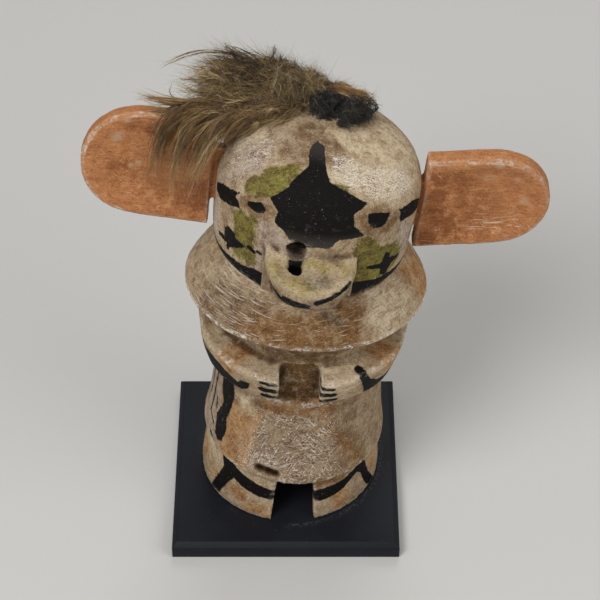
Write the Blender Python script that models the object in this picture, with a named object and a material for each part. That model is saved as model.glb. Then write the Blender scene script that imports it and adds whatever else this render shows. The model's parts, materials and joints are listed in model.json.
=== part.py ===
"""Carved and painted kachina doll with plank ears and crown feathers, on a square black stand.

Metres, +Z up. The origin is at the middle of the stand's underside, and the doll faces -Y.
The figure is carved about its own upright axis, then leans a little to +X on flat-cut feet.
"""
import math

import bmesh
import bpy
from mathutils import Matrix, Vector

# Gap kept between pieces that touch.
CLEARANCE = 0.0003

# Stand.
STAND_SIDE = 0.115
STAND_THICKNESS = 0.0095
STAND_CHAMFER = 0.0025

# Figure: its height from the soles to the crown, and how it stands on the plate.
FIGURE_HEIGHT = 0.224
FIGURE_OFFSET_X = 0.0021
FIGURE_OFFSET_Y = 0.0028
FIGURE_LEAN = math.radians(3.5)
SOLE_ALLOWANCE = 0.006

# Body, from the legs up to the neck, as shares of the figure's height:
# height, half width, half depth.
BODY_PROFILE = [
    (0.000, 0.2050, 0.2015),
    (0.055, 0.2005, 0.1975),
    (0.142, 0.1920, 0.1900),
    (0.137, 0.2030, 0.2070),
    (0.146, 0.2050, 0.2090),
    (0.180, 0.1985, 0.1995),
    (0.225, 0.193, 0.193),
    (0.290, 0.188, 0.187),
    (0.366, 0.185, 0.184),
    (0.377, 0.181, 0.180),
    (0.380, 0.168, 0.166),
    (0.415, 0.167, 0.165),
    (0.480, 0.171, 0.168),
    (0.515, 0.180, 0.171),
    (0.537, 0.200, 0.179),
    (0.556, 0.232, 0.196),
    (0.570, 0.254, 0.214),
    (0.580, 0.261, 0.220),
    (0.591, 0.258, 0.218),
    (0.620, 0.243, 0.210),
    (0.655, 0.219, 0.197),
    (0.680, 0.199, 0.186),
    (0.694, 0.186, 0.178),
    (0.712, 0.178, 0.172),
]
BODY_SIDES = 52

# Gap between the legs, cut right through from front to back.
LEG_GAP_AT_FOOT = 0.0224
LEG_GAP_AT_TOP = 0.0177
LEG_GAP_HEIGHT = 0.0300
LEG_GAP_OFFSET = 0.0010

# Arms: a band round the body from each hand to behind the elbow.
HAND_GAP = 0.0196
HAND_GAP_OFFSET = -0.0013
ARM_RADIUS = 0.228 * FIGURE_HEIGHT
ARM_SIDE_SWELL = 0.006 * FIGURE_HEIGHT
ARM_TAPER = 0.026 * FIGURE_HEIGHT
ARM_ROOT_RADIUS = 0.140 * FIGURE_HEIGHT
ARM_EDGE = 0.0022
FOREARM_TOP = 0.480 * FIGURE_HEIGHT
UPPER_ARM_TOP = 0.578 * FIGURE_HEIGHT
HAND_UNDERSIDE = 0.402 * FIGURE_HEIGHT
ELBOW_UNDERSIDE = 0.366 * FIGURE_HEIGHT
ARM_BACK_ANGLE = math.radians(112)
ELBOW_BEND_START = math.radians(68)
ELBOW_BEND_END = math.radians(88)
ARM_SECTIONS = 18

# Head, from its lower edge to the crown, rolled further than the body.
HEAD_BASE = 0.706 * FIGURE_HEIGHT
HEAD_HALF_WIDTH = 0.2105 * FIGURE_HEIGHT
HEAD_HALF_DEPTH = 0.1990 * FIGURE_HEIGHT
HEAD_WALL_HEIGHT = 0.170 * FIGURE_HEIGHT
DOME_POWER = 2.2
HEAD_ROLL = math.radians(2.8)
HEAD_SIDES = 48
DOME_RINGS = 8
# Head's lower wall: height and radius as shares of the wall's height and of the head's half width.
HEAD_WALL = [
    (-0.24, 0.80),
    (-0.05, 0.85),
    (0.00, 0.955),
    (0.05, 0.970),
    (0.30, 0.985),
    (0.65, 1.000),
    (1.00, 1.000),
]

# Mouth: a round-fronted block with a sloping flat top, a groove along it and a round hole.
MOUTH_RADIUS = 0.0205
MOUTH_OFFSET = -0.0023
MOUTH_REACH = 0.0660
MOUTH_TOP_AT_FACE = 0.0280
MOUTH_TOP_AT_FRONT = 0.0250
MOUTH_BOTTOM_AT_FACE = 0.0040
MOUTH_BOTTOM_AT_FRONT = 0.0160
MOUTH_SIDES = 16
GROOVE_RADIUS = 0.0048
GROOVE_OFFSET = -0.0068
GROOVE_END = 0.0560
GROOVE_START = 0.0380
GROOVE_DEPTH = 0.0026
HOLE_RADIUS = 0.0034
HOLE_DEPTH = 0.0085

# Ears: planks with a round outer end and a shallow dish in front, on a tenon.
EAR_LENGTH = 0.0600
EAR_HEIGHT = 0.0520
EAR_THICKNESS = 0.0100
EAR_END_LENGTH = 0.0300
EAR_EDGE = 0.0012
EAR_RIM = 0.0040
EAR_DISH_START = 0.0085
EAR_DISH_DEPTH = 0.0020
LEFT_EAR_ABOVE_HEAD_BASE = 0.0355
RIGHT_EAR_ABOVE_HEAD_BASE = 0.0275
LEFT_EAR_RISE = math.radians(4)
RIGHT_EAR_RISE = math.radians(10)
LEFT_EAR_TILT = math.radians(14)
RIGHT_EAR_TILT = math.radians(0)
LEFT_EAR_GAP = 0.0018
RIGHT_EAR_GAP = 0.0010
EAR_SIDES = 36
TENON_LENGTH = 0.0080
TENON_HEIGHT = 0.0260
TENON_THICKNESS = 0.0064

# Feathers: tip from the root, how high the middle bows, and the greatest width.
PLUME_ROOT = (0.0020, 0.0290)
PLUME_SOCKET_RADIUS = 0.0040
SOCKET_DEPTH = 0.0060
PLUME_FEATHERS = [
    ((-0.016, -0.004, 0.012), 0.004, 0.011),
    ((-0.023, -0.006, 0.022), 0.003, 0.011),
    ((-0.033, -0.008, 0.026), 0.004, 0.012),
    ((-0.043, -0.008, 0.024), 0.005, 0.012),
    ((-0.057, -0.004, 0.027), 0.006, 0.009),
    ((-0.064, -0.010, 0.017), 0.008, 0.010),
    ((-0.070, -0.015, 0.021), 0.012, 0.008),
    ((-0.081, -0.020, 0.017), 0.018, 0.007),
    ((-0.066, -0.023, 0.013), 0.022, 0.010),
    ((-0.071, -0.041, 0.006), 0.030, 0.009),
    ((-0.075, -0.045, -0.016), 0.048, 0.008),
    ((-0.066, -0.047, -0.016), 0.046, 0.009),
    ((-0.057, -0.045, -0.012), 0.040, 0.010),
    ((-0.051, -0.034, -0.002), 0.028, 0.012),
    ((-0.047, -0.022, -0.005), 0.022, 0.014),
    ((-0.035, -0.013, 0.001), 0.014, 0.014),
    ((0.030, 0.001, -0.001), 0.008, 0.006),
]
DARK_ROOT = (0.0135, 0.0215)
DARK_SOCKET_RADIUS = 0.0030
DARK_FEATHERS = [
    ((0.016, -0.004, 0.001), 0.006, 0.007),
    ((0.013, -0.010, 0.001), 0.007, 0.007),
    ((0.006, -0.012, 0.004), 0.006, 0.006),
    ((-0.004, -0.009, 0.004), 0.006, 0.006),
    ((0.012, 0.002, 0.005), 0.006, 0.006),
    ((-0.008, -0.003, 0.006), 0.005, 0.005),
]
FEATHER_THICKNESS = 0.0009
FEATHER_SECTIONS = 6


def lean_frame():
    """Places the figure's own axis on the stand, leaning to +X."""
    foot = Vector((FIGURE_OFFSET_X, FIGURE_OFFSET_Y, STAND_THICKNESS + CLEARANCE))
    return Matrix.Translation(foot) @ Matrix.Rotation(FIGURE_LEAN, 4, "Y")


def head_frame():
    """Places the head's lower edge on the leaning body, with its own roll."""
    neck = Matrix.Translation(Vector((0.0, 0.0, HEAD_BASE)))
    return lean_frame() @ neck @ Matrix.Rotation(HEAD_ROLL, 4, "Y")


def ear_pose(side):
    """An ear's gap from the head, its height on the head, its rise outwards and its tilt back."""
    if side < 0:
        return LEFT_EAR_GAP, LEFT_EAR_ABOVE_HEAD_BASE, LEFT_EAR_RISE, LEFT_EAR_TILT
    return RIGHT_EAR_GAP, RIGHT_EAR_ABOVE_HEAD_BASE, RIGHT_EAR_RISE, RIGHT_EAR_TILT


def ear_frame(side):
    """Places an ear at the head's side, with its length along X."""
    gap, height, rise, tilt = ear_pose(side)
    place = Matrix.Translation(Vector((side * (HEAD_HALF_WIDTH + gap), 0.0, height)))
    turn = Matrix.Rotation(-side * rise, 4, "Y") @ Matrix.Rotation(-tilt, 4, "X")
    return head_frame() @ place @ turn


def material(name, colour, roughness):
    """A plain Principled material."""
    made = bpy.data.materials.new(name)
    made.use_nodes = True
    shader = made.node_tree.nodes["Principled BSDF"]
    shader.inputs["Base Color"].default_value = (*colour, 1.0)
    shader.inputs["Roughness"].default_value = roughness
    return made


def object_from_rings(name, rings):
    """A closed solid through rings of equal count, with flat caps at both ends."""
    mesh = bmesh.new()
    loops = []
    for ring in rings:
        loops.append([mesh.verts.new(point) for point in ring])
    count = len(loops[0])
    for lower, upper in zip(loops, loops[1:]):
        for index in range(count):
            following = (index + 1) % count
            mesh.faces.new((lower[index], lower[following], upper[following], upper[index]))
    mesh.faces.new(list(reversed(loops[0])))
    mesh.faces.new(loops[-1])
    bmesh.ops.recalc_face_normals(mesh, faces=mesh.faces)
    data = bpy.data.meshes.new(name)
    mesh.to_mesh(data)
    mesh.free()
    made = bpy.data.objects.new(name, data)
    bpy.context.collection.objects.link(made)
    return made


def combine(target, tool, operation, solver="EXACT"):
    """Joins a tool to the target, or cuts it away, and removes the tool."""
    modifier = target.modifiers.new(operation.lower(), "BOOLEAN")
    modifier.operation = operation
    modifier.solver = solver
    modifier.object = tool
    bpy.context.view_layer.objects.active = target
    bpy.ops.object.modifier_apply(modifier=modifier.name)
    bpy.data.objects.remove(tool)


def fill_pockets(made):
    """Removes the walls of closed pockets that crossing feathers leave between them."""
    mesh = bmesh.new()
    mesh.from_mesh(made.data)
    shells = []
    unseen = set(mesh.faces)
    while unseen:
        shell = {unseen.pop()}
        edge_of_shell = list(shell)
        while edge_of_shell:
            face = edge_of_shell.pop()
            for edge in face.edges:
                for neighbour in edge.link_faces:
                    if neighbour in unseen:
                        unseen.remove(neighbour)
                        shell.add(neighbour)
                        edge_of_shell.append(neighbour)
        shells.append(shell)
    shells.sort(key=len)
    for shell in shells[:-1]:
        bmesh.ops.delete(mesh, geom=list(shell), context="FACES")
    mesh.to_mesh(made.data)
    mesh.free()


def ellipse_ring(half_width, half_depth, height, sides):
    """Points round an upright axis, starting at the front."""
    points = []
    for index in range(sides):
        angle = 2.0 * math.pi * index / sides
        points.append(Vector((half_width * math.sin(angle), -half_depth * math.cos(angle), height)))
    return points


def smooth_step(value, start, end):
    """0 before start, 1 after end, and an easy curve between them."""
    share = min(max((value - start) / (end - start), 0.0), 1.0)
    return share * share * (3.0 - 2.0 * share)


def placed(frame, points):
    """Points moved into a frame."""
    return [frame @ point for point in points]


def build_body():
    """Legs, kilt, waist, chest and shoulder mantle, turned about the figure's axis."""
    frame = lean_frame()
    _, sole_width, sole_depth = BODY_PROFILE[0]
    rings = [ellipse_ring(sole_width * FIGURE_HEIGHT, sole_depth * FIGURE_HEIGHT, -SOLE_ALLOWANCE, BODY_SIDES)]
    for height, half_width, half_depth in BODY_PROFILE:
        ring = ellipse_ring(
            half_width * FIGURE_HEIGHT, half_depth * FIGURE_HEIGHT, height * FIGURE_HEIGHT, BODY_SIDES)
        rings.append(ring)
    return object_from_rings("doll", [placed(frame, ring) for ring in rings])


def arm_section(side, angle):
    """One slice of an arm, as an outline in the plane that turns with the angle."""
    widest = ARM_RADIUS + ARM_SIDE_SWELL * math.sin(angle) ** 2
    bend = smooth_step(angle, ELBOW_BEND_START, ELBOW_BEND_END)
    top = FOREARM_TOP + (UPPER_ARM_TOP - FOREARM_TOP) * bend
    fall = smooth_step(angle, 0.0, ELBOW_BEND_END)
    bottom = HAND_UNDERSIDE + (ELBOW_UNDERSIDE - HAND_UNDERSIDE) * fall
    hand_edge = HAND_GAP / 2.0 + side * HAND_GAP_OFFSET
    slope = ARM_TAPER / (FOREARM_TOP - ELBOW_UNDERSIDE)
    narrow = widest - slope * max(FOREARM_TOP - bottom, 0.0)
    middle = (bottom + FOREARM_TOP) / 2.0
    corners = [
        (ARM_ROOT_RADIUS, bottom),
        (narrow - ARM_EDGE, bottom),
        (narrow, bottom + ARM_EDGE),
        (widest - slope * (FOREARM_TOP - middle), middle),
        (widest, top - ARM_EDGE / 2.0),
        (widest - ARM_EDGE / 2.0, top),
        (ARM_ROOT_RADIUS, top),
    ]
    points = []
    for radius, height in corners:
        across = max(radius * math.sin(angle), hand_edge)
        points.append(Vector((side * across, -radius * math.cos(angle), height)))
    return points


def build_arm(side):
    """Upper arm, elbow, forearm and hand of one side."""
    hand_edge = HAND_GAP / 2.0 + side * HAND_GAP_OFFSET
    hand_angle = math.asin(hand_edge / ARM_RADIUS)
    frame = lean_frame()
    rings = []
    for index in range(ARM_SECTIONS):
        angle = hand_angle + (ARM_BACK_ANGLE - hand_angle) * index / (ARM_SECTIONS - 1)
        rings.append(placed(frame, arm_section(side, angle)))
    return object_from_rings("arm", rings)


def build_head():
    """The drum-shaped head with its domed crown."""
    frame = head_frame()
    depth_share = HEAD_HALF_DEPTH / HEAD_HALF_WIDTH
    rings = []
    for height, radius in HEAD_WALL:
        half_width = radius * HEAD_HALF_WIDTH
        rings.append(ellipse_ring(half_width, half_width * depth_share, height * HEAD_WALL_HEIGHT, HEAD_SIDES))
    for index in range(1, DOME_RINGS + 1):
        share = index / (DOME_RINGS + 0.35)
        radius, height = dome_point(share)
        rings.append(ellipse_ring(radius, radius * depth_share, height, HEAD_SIDES))
    return object_from_rings("head", [placed(frame, ring) for ring in rings])


def dome_height():
    """How far the crown rises above the head's wall."""
    return FIGURE_HEIGHT - HEAD_BASE - HEAD_WALL_HEIGHT


def dome_point(share):
    """Radius and height on the crown's profile, from the wall at 0 to the top at 1."""
    angle = share * math.pi / 2.0
    radius = HEAD_HALF_WIDTH * math.cos(angle) ** (2.0 / DOME_POWER)
    height = HEAD_WALL_HEIGHT + dome_height() * math.sin(angle) ** (2.0 / DOME_POWER)
    return radius, height


def crown_height(x, y):
    """Height of the crown over a point, in the head's frame."""
    distance = math.hypot(x / HEAD_HALF_WIDTH, y / HEAD_HALF_DEPTH)
    rise = (1.0 - distance ** DOME_POWER) ** (1.0 / DOME_POWER)
    return HEAD_WALL_HEIGHT + dome_height() * rise


def mouth_outline(height_at_face, height_at_front):
    """The block's plan: straight sides from inside the head, then a half circle."""
    centre_y = MOUTH_REACH - MOUTH_RADIUS
    buried_y = HEAD_HALF_DEPTH * 0.55
    flat = [(-MOUTH_RADIUS, buried_y), (MOUTH_RADIUS, buried_y)]
    for index in range(MOUTH_SIDES + 1):
        angle = math.pi * index / MOUTH_SIDES
        flat.append((MOUTH_RADIUS * math.cos(angle), centre_y + MOUTH_RADIUS * math.sin(angle)))
    points = []
    slope = (height_at_front - height_at_face) / (MOUTH_REACH - HEAD_HALF_DEPTH)
    for across, forward in flat:
        height = height_at_face + slope * (forward - HEAD_HALF_DEPTH)
        points.append(Vector((MOUTH_OFFSET + across, -forward, height)))
    return points


def build_mouth():
    """The mouth block, before its groove and hole are cut."""
    bottom = mouth_outline(MOUTH_BOTTOM_AT_FACE, MOUTH_BOTTOM_AT_FRONT)
    top = mouth_outline(MOUTH_TOP_AT_FACE, MOUTH_TOP_AT_FRONT)
    frame = head_frame()
    return object_from_rings("mouth", [placed(frame, bottom), placed(frame, top)])


def rod(name, start, end, radius, sides):
    """A straight round bar between two points."""
    start = Vector(start)
    end = Vector(end)
    axis = (end - start).normalized()
    turn = axis.to_track_quat("Z", "Y").to_matrix().to_4x4()
    rings = []
    for point in (start, end):
        place = Matrix.Translation(point) @ turn
        rings.append(placed(place, ellipse_ring(radius, radius, 0.0, sides)))
    return object_from_rings(name, rings)


def mouth_top(forward):
    """Height of the block's sloping top, at a distance in front of the head's axis."""
    slope = (MOUTH_TOP_AT_FRONT - MOUTH_TOP_AT_FACE) / (MOUTH_REACH - HEAD_HALF_DEPTH)
    return MOUTH_TOP_AT_FACE + slope * (forward - HEAD_HALF_DEPTH)


def cut_mouth(doll):
    """The groove along the block's top, and the round hole at its end."""
    frame = head_frame()
    middle = GROOVE_RADIUS - GROOVE_DEPTH
    start = frame @ Vector((GROOVE_OFFSET, -GROOVE_START, mouth_top(GROOVE_START) + middle))
    end = frame @ Vector((GROOVE_OFFSET, -GROOVE_END, mouth_top(GROOVE_END) + middle))
    combine(doll, rod("groove", start, end, GROOVE_RADIUS, 12), "DIFFERENCE")
    top = frame @ Vector((GROOVE_OFFSET, -GROOVE_END, mouth_top(GROOVE_END) + GROOVE_RADIUS))
    floor = frame @ Vector((GROOVE_OFFSET, -GROOVE_END + HOLE_RADIUS, mouth_top(GROOVE_END) - HOLE_DEPTH))
    combine(doll, rod("hole", top, floor, HOLE_RADIUS, 12), "DIFFERENCE")


def cut_leg_gap(doll):
    """The gap between the legs, narrower at its top."""
    frame = lean_frame()
    reach = FIGURE_HEIGHT
    rings = []
    for y in (-reach, reach):
        ring = [
            Vector((LEG_GAP_OFFSET - LEG_GAP_AT_FOOT / 2.0, y, -2.0 * SOLE_ALLOWANCE)),
            Vector((LEG_GAP_OFFSET + LEG_GAP_AT_FOOT / 2.0, y, -2.0 * SOLE_ALLOWANCE)),
            Vector((LEG_GAP_OFFSET + LEG_GAP_AT_TOP / 2.0, y, LEG_GAP_HEIGHT)),
            Vector((LEG_GAP_OFFSET - LEG_GAP_AT_TOP / 2.0, y, LEG_GAP_HEIGHT)),
        ]
        rings.append(placed(frame, ring))
    combine(doll, object_from_rings("leg_gap", rings), "DIFFERENCE")


def box(name, low, high, frame):
    """A box between two corners, in a frame."""
    rings = []
    for z in (low[2], high[2]):
        ring = [
            Vector((low[0], low[1], z)),
            Vector((high[0], low[1], z)),
            Vector((high[0], high[1], z)),
            Vector((low[0], high[1], z)),
        ]
        rings.append(placed(frame, ring))
    return object_from_rings(name, rings)


def flatten_soles(doll):
    """Cuts the feet level with the stand's top, a clearance above it."""
    top = STAND_THICKNESS + CLEARANCE
    low = (-FIGURE_HEIGHT, -FIGURE_HEIGHT, top - FIGURE_HEIGHT)
    high = (FIGURE_HEIGHT, FIGURE_HEIGHT, top)
    combine(doll, box("below_soles", low, high, Matrix.Identity(4)), "DIFFERENCE")


def tenon_box(name, side, growth):
    """An ear's tenon, or with some growth the pocket that it goes into."""
    gap, _, rise, _ = ear_pose(side)
    far = -TENON_LENGTH - gap - growth
    near = EAR_EDGE + TENON_HEIGHT * math.tan(rise)
    low = (far, -TENON_THICKNESS / 2.0 - growth, -TENON_HEIGHT / 2.0 - growth)
    high = (near, TENON_THICKNESS / 2.0 + growth, TENON_HEIGHT / 2.0 + growth)
    if side < 0:
        low, high = (-high[0], low[1], low[2]), (-low[0], high[1], high[2])
    return box(name, low, high, ear_frame(side))


def ear_outline(inset, start, rise):
    """The plank's outline, drawn in by an inset: the slanted end at the head, straight edges, a round end."""
    half = EAR_HEIGHT / 2.0 - inset
    straight = EAR_LENGTH - EAR_END_LENGTH
    end_length = EAR_END_LENGTH - inset
    slant = math.tan(rise)
    quarter = EAR_SIDES // 4
    points = []
    for index in range(2 * quarter + 1):
        angle = -math.pi / 2.0 + math.pi * index / (2 * quarter)
        across = straight + end_length * abs(math.cos(angle)) ** 0.85
        points.append((across, half * math.sin(angle)))
    for index in range(1, quarter):
        share = index / quarter
        points.append((straight + (start + half * slant - straight) * share, half))
    for index in range(quarter + 1):
        height = half * (1.0 - 2.0 * index / quarter)
        points.append((start + height * slant, height))
    for index in range(1, quarter):
        share = index / quarter
        points.append((start - half * slant + (straight - start + half * slant) * share, -half))
    return points


def dish_outline(inset, rise):
    """The dish's outline: the plank's own, rounded at the head's end too."""
    half = EAR_HEIGHT / 2.0 - EAR_RIM - inset
    near = EAR_DISH_START + inset
    far = EAR_LENGTH - EAR_RIM - inset
    points = []
    for across, height in ear_outline(0.0, 0.0, rise):
        share = min(max(across / EAR_LENGTH, 0.0), 1.0)
        points.append((near + (far - near) * share, height * half / (EAR_HEIGHT / 2.0)))
    return points


def build_ear(name, side):
    """One ear: a plank with softened edges, dished in front, and its tenon."""
    back = EAR_THICKNESS / 2.0
    front = -EAR_THICKNESS / 2.0
    _, _, rise, _ = ear_pose(side)
    layers = [
        (ear_outline(EAR_EDGE, EAR_EDGE, rise), back),
        (ear_outline(0.0, 0.0, rise), back - EAR_EDGE),
        (ear_outline(0.0, 0.0, rise), front + EAR_EDGE),
        (ear_outline(EAR_EDGE, EAR_EDGE, rise), front),
        (dish_outline(0.0, rise), front),
        (dish_outline(EAR_RIM, rise), front + 0.6 * EAR_DISH_DEPTH),
        (dish_outline(2.5 * EAR_RIM, rise), front + EAR_DISH_DEPTH),
    ]
    frame = ear_frame(side)
    rings = []
    for outline, y in layers:
        rings.append(placed(frame, [Vector((side * across, y, height)) for across, height in outline]))
    ear = object_from_rings(name, rings)
    combine(ear, tenon_box("tenon", side, 0.0), "UNION")
    return ear


def feather(root, tip, bow, width):
    """One feather as a thin curved blade, pointed at the tip and thick enough to be solid."""
    root = Vector(root)
    tip = root + Vector(tip)
    control = (root + tip) / 2.0 + Vector((0.0, 0.0, bow))
    rings = []
    for index in range(FEATHER_SECTIONS + 1):
        t = index / FEATHER_SECTIONS
        centre = root * (1 - t) ** 2 + control * 2 * t * (1 - t) + tip * t ** 2
        along = ((control - root) * (1 - t) + (tip - control) * t).normalized()
        across = along.cross(Vector((0.0, 0.0, 1.0))).normalized()
        above = across.cross(along).normalized()
        spread = 0.12 + 0.88 * math.sin(math.pi * min(t * 0.9 + 0.05, 1.0)) ** 0.8
        half = width / 2.0 * spread
        thick = FEATHER_THICKNESS / 2.0 * (1.6 - t)
        ring = [
            centre - across * half,
            centre - above * thick,
            centre + across * half,
            centre + above * thick,
        ]
        rings.append(placed(head_frame(), ring))
    return object_from_rings("feather", rings)


def socket(root, radius, depth):
    """The round hole in the crown that a bundle of feathers is pushed into."""
    x, y = root
    surface = crown_height(x, y)
    frame = head_frame()
    return rod("socket", frame @ Vector((x, y, surface + depth)), frame @ Vector((x, y, surface - depth)), radius, 10)


def build_feathers(name, root, radius, feathers):
    """A bundle of feathers, fused where they meet, on one bound stem."""
    x, y = root
    surface = crown_height(x, y)
    frame = head_frame()
    stem_top = frame @ Vector((x, y, surface + 0.5 * SOCKET_DEPTH))
    stem_foot = frame @ Vector((x, y, surface - SOCKET_DEPTH + CLEARANCE))
    bundle = rod(name, stem_foot, stem_top, radius - CLEARANCE, 10)
    start = Vector((x, y, surface + 0.3 * SOCKET_DEPTH))
    for tip, bow, width in feathers:
        combine(bundle, feather(start, tip, bow, width), "UNION", "MANIFOLD")
    fill_pockets(bundle)
    return bundle


def build_stand():
    """The square plate with its chamfered top edge."""
    half = STAND_SIDE / 2.0
    inner = half - STAND_CHAMFER
    rings = []
    for reach, z in ((half, 0.0), (half, STAND_THICKNESS - STAND_CHAMFER), (inner, STAND_THICKNESS)):
        corners = ((-reach, -reach), (reach, -reach), (reach, reach), (-reach, reach))
        rings.append([Vector((x, y, z)) for x, y in corners])
    return object_from_rings("stand", rings)


def build_doll():
    """The carved figure in one piece, with the pockets for its ears and feathers."""
    doll = build_body()
    for side in (-1, 1):
        combine(doll, build_arm(side), "UNION")
    combine(doll, build_head(), "UNION")
    combine(doll, build_mouth(), "UNION")
    cut_mouth(doll)
    cut_leg_gap(doll)
    flatten_soles(doll)
    for side in (-1, 1):
        combine(doll, tenon_box("pocket", side, CLEARANCE), "DIFFERENCE")
    combine(doll, socket(PLUME_ROOT, PLUME_SOCKET_RADIUS, SOCKET_DEPTH), "DIFFERENCE")
    combine(doll, socket(DARK_ROOT, DARK_SOCKET_RADIUS, SOCKET_DEPTH), "DIFFERENCE")
    return doll


def finish(made, finish_material):
    """Gives a piece its material."""
    made.data.materials.clear()
    made.data.materials.append(finish_material)


def main():
    """Builds every piece of the model."""
    for old in list(bpy.data.objects):
        bpy.data.objects.remove(old)
    painted_wood = material("painted_wood", (0.42, 0.30, 0.19), 0.85)
    orange_paint = material("orange_paint", (0.50, 0.17, 0.07), 0.80)
    brown_feather = material("brown_feather", (0.20, 0.13, 0.07), 0.90)
    dark_feather = material("dark_feather", (0.02, 0.02, 0.02), 0.80)
    black_plate = material("black_plate", (0.012, 0.013, 0.016), 0.55)
    finish(build_stand(), black_plate)
    finish(build_doll(), painted_wood)
    finish(build_ear("left_ear", -1), orange_paint)
    finish(build_ear("right_ear", 1), orange_paint)
    plume = build_feathers("feather_plume", PLUME_ROOT, PLUME_SOCKET_RADIUS, PLUME_FEATHERS)
    finish(plume, brown_feather)
    dark = build_feathers("dark_feathers", DARK_ROOT, DARK_SOCKET_RADIUS, DARK_FEATHERS)
    finish(dark, dark_feather)


main()
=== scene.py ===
"""Looks of the carved kachina doll: painted wood, two plank ears, its feathers and the black stand.

It is laid out as an add-on and run as a script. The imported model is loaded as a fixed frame, each
visible piece is modelled round it, and the stage is set. Lengths are metres unless a name ends in MM.
"""

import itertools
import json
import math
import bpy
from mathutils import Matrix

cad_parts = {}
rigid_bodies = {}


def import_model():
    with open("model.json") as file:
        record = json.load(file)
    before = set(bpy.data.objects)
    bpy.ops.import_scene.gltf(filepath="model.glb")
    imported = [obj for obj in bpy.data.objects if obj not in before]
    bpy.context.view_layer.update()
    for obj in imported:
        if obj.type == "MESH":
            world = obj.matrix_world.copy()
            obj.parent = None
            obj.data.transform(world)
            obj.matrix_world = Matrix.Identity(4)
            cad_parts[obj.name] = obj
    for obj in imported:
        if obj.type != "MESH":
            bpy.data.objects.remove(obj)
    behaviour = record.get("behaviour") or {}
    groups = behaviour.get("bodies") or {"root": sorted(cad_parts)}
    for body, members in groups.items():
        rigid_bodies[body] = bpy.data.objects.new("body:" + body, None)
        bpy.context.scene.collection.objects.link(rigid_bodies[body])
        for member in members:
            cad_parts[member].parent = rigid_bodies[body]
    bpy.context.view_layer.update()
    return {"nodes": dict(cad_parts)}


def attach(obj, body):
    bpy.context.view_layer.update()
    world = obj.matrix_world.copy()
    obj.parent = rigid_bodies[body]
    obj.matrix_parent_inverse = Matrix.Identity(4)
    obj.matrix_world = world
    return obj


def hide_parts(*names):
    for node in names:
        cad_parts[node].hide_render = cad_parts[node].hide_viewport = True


bl_info = {
    "name": "Kachina doll",
    "version": (1, 0, 0),
    "blender": (4, 5, 0),
    "location": "View3D > Sidebar > Doll",
    "description": "Models the finish of a carved and painted doll with feathers on a square stand",
    "category": "Add Mesh",
}

import bpy
import numpy as np
from bpy.props import FloatProperty, FloatVectorProperty, PointerProperty
from mathutils import Matrix, Vector

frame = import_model()

MM = 0.001

# Places that the carved solids were built from.
FIGURE_HEIGHT = 0.224
STAND_TOP = 0.0098
FIGURE_OFFSET = (0.0021, 0.0028)
FIGURE_LEAN = math.radians(3.5)
HEAD_BASE = 0.706 * FIGURE_HEIGHT
HEAD_HALF_WIDTH = 0.2105 * FIGURE_HEIGHT
HEAD_HALF_DEPTH = 0.1990 * FIGURE_HEIGHT
HEAD_WALL_HEIGHT = 0.170 * FIGURE_HEIGHT
DOME_POWER = 2.2
HEAD_ROLL = math.radians(2.8)
EAR_LENGTH = 0.0600
EAR_HEIGHT = 0.0520
EAR_THICKNESS = 0.0100
# Each ear's side, gap to the head, height on it, rise and tilt.
EAR_POSES = {
    "left_ear": (-1, 0.0018, 0.0355, math.radians(4), math.radians(14)),
    "right_ear": (1, 0.0010, 0.0275, math.radians(10), math.radians(0)),
}
# Painted shade in an ear's frame, by the head and under the feathers, with some brown mottling, in
# millimetres: along, up, reach and strength.
EAR_SHADES = {
    "left_ear": [(-6, -12, 13, 0.7), (-21, -15, 13, 0.35), (-18, 15, 9, 0.4), (-29, 18, 6, 0.6),
                 (-38, 19, 5, 0.5),
                 (-42, -3, 7, 0.5), (-11, 10, 9, 0.5), (-30, -8, 9, 0.3)],
    "right_ear": [(9, 16, 6, 0.9), (9, 6, 6, 0.9), (8, -4, 7, 0.9), (13, -14, 12, 0.75), (25, -2, 13, 0.5),
                  (22, -20, 11, 0.45), (20, 12, 10, 0.5), (3, -20, 7, 0.8)],
}
# Scuffs in an ear's frame, in millimetres: along, up and reach.
EAR_SCUFFS = {
    "left_ear": [(-45, 12, 4.5), (-34, 0, 2.6), (-42, 22, 3.0), (-28, 19, 2.5), (-37, -2, 2.0)],
    "right_ear": [(37, 23, 3.4), (31, 15, 2.2), (45, 13, 2.8), (48, -1, 3.6), (30, -13, 2.0), (4, 24, 2.5)],
}
# Painted shade over the back of each ear.
EAR_BACK_SHADE = 0.25
FOOT_RADIUS = 0.2050 * FIGURE_HEIGHT

MERGE_DISTANCE = 0.00001

# Heights and reaches of the body's parts on its own axis.
LEG_TOP_MM = 31.0
KILT_TOP_MM = 86.0
ARM_LOW_MM = 84.0
ARM_TOP_MM = 109.0
MANTLE_LOW_MM = 128.0
RIDGE_MM = 130.3
KILT_RADIUS_MM = 47.5
BELLY_RADIUS_MM = 42.0
HAND_GAP_DEGREES = 17.0
MOUTH_STARTS = 1.035
MOUTH_HALF_WIDTH = 0.028

# Steps of the whole-number hash that the random lattice is made with.
HASH_STEPS = np.array((73856093, 19349663, 83492791))
HASH_SEED = 6542989
HASH_SPREAD = 1274126177


def linear(red, green, blue):
    """A linear colour from the 0 to 255 values that a screen shows."""
    values = []
    for part in (red, green, blue):
        share = part / 255.0
        values.append(share / 12.92 if share <= 0.04045 else ((share + 0.055) / 1.055) ** 2.4)
    return tuple(values)


def length_property(name, description, default, low, high):
    """A length that a user may change."""
    return FloatProperty(
        name=name, description=description, default=default, min=low, max=high,
        precision=5, unit="LENGTH", subtype="DISTANCE")


def colour_property(name, description, default):
    """A colour that a user may change."""
    return FloatVectorProperty(
        name=name, description=description, default=default, size=3, min=0.0, max=1.0, subtype="COLOR")


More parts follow.
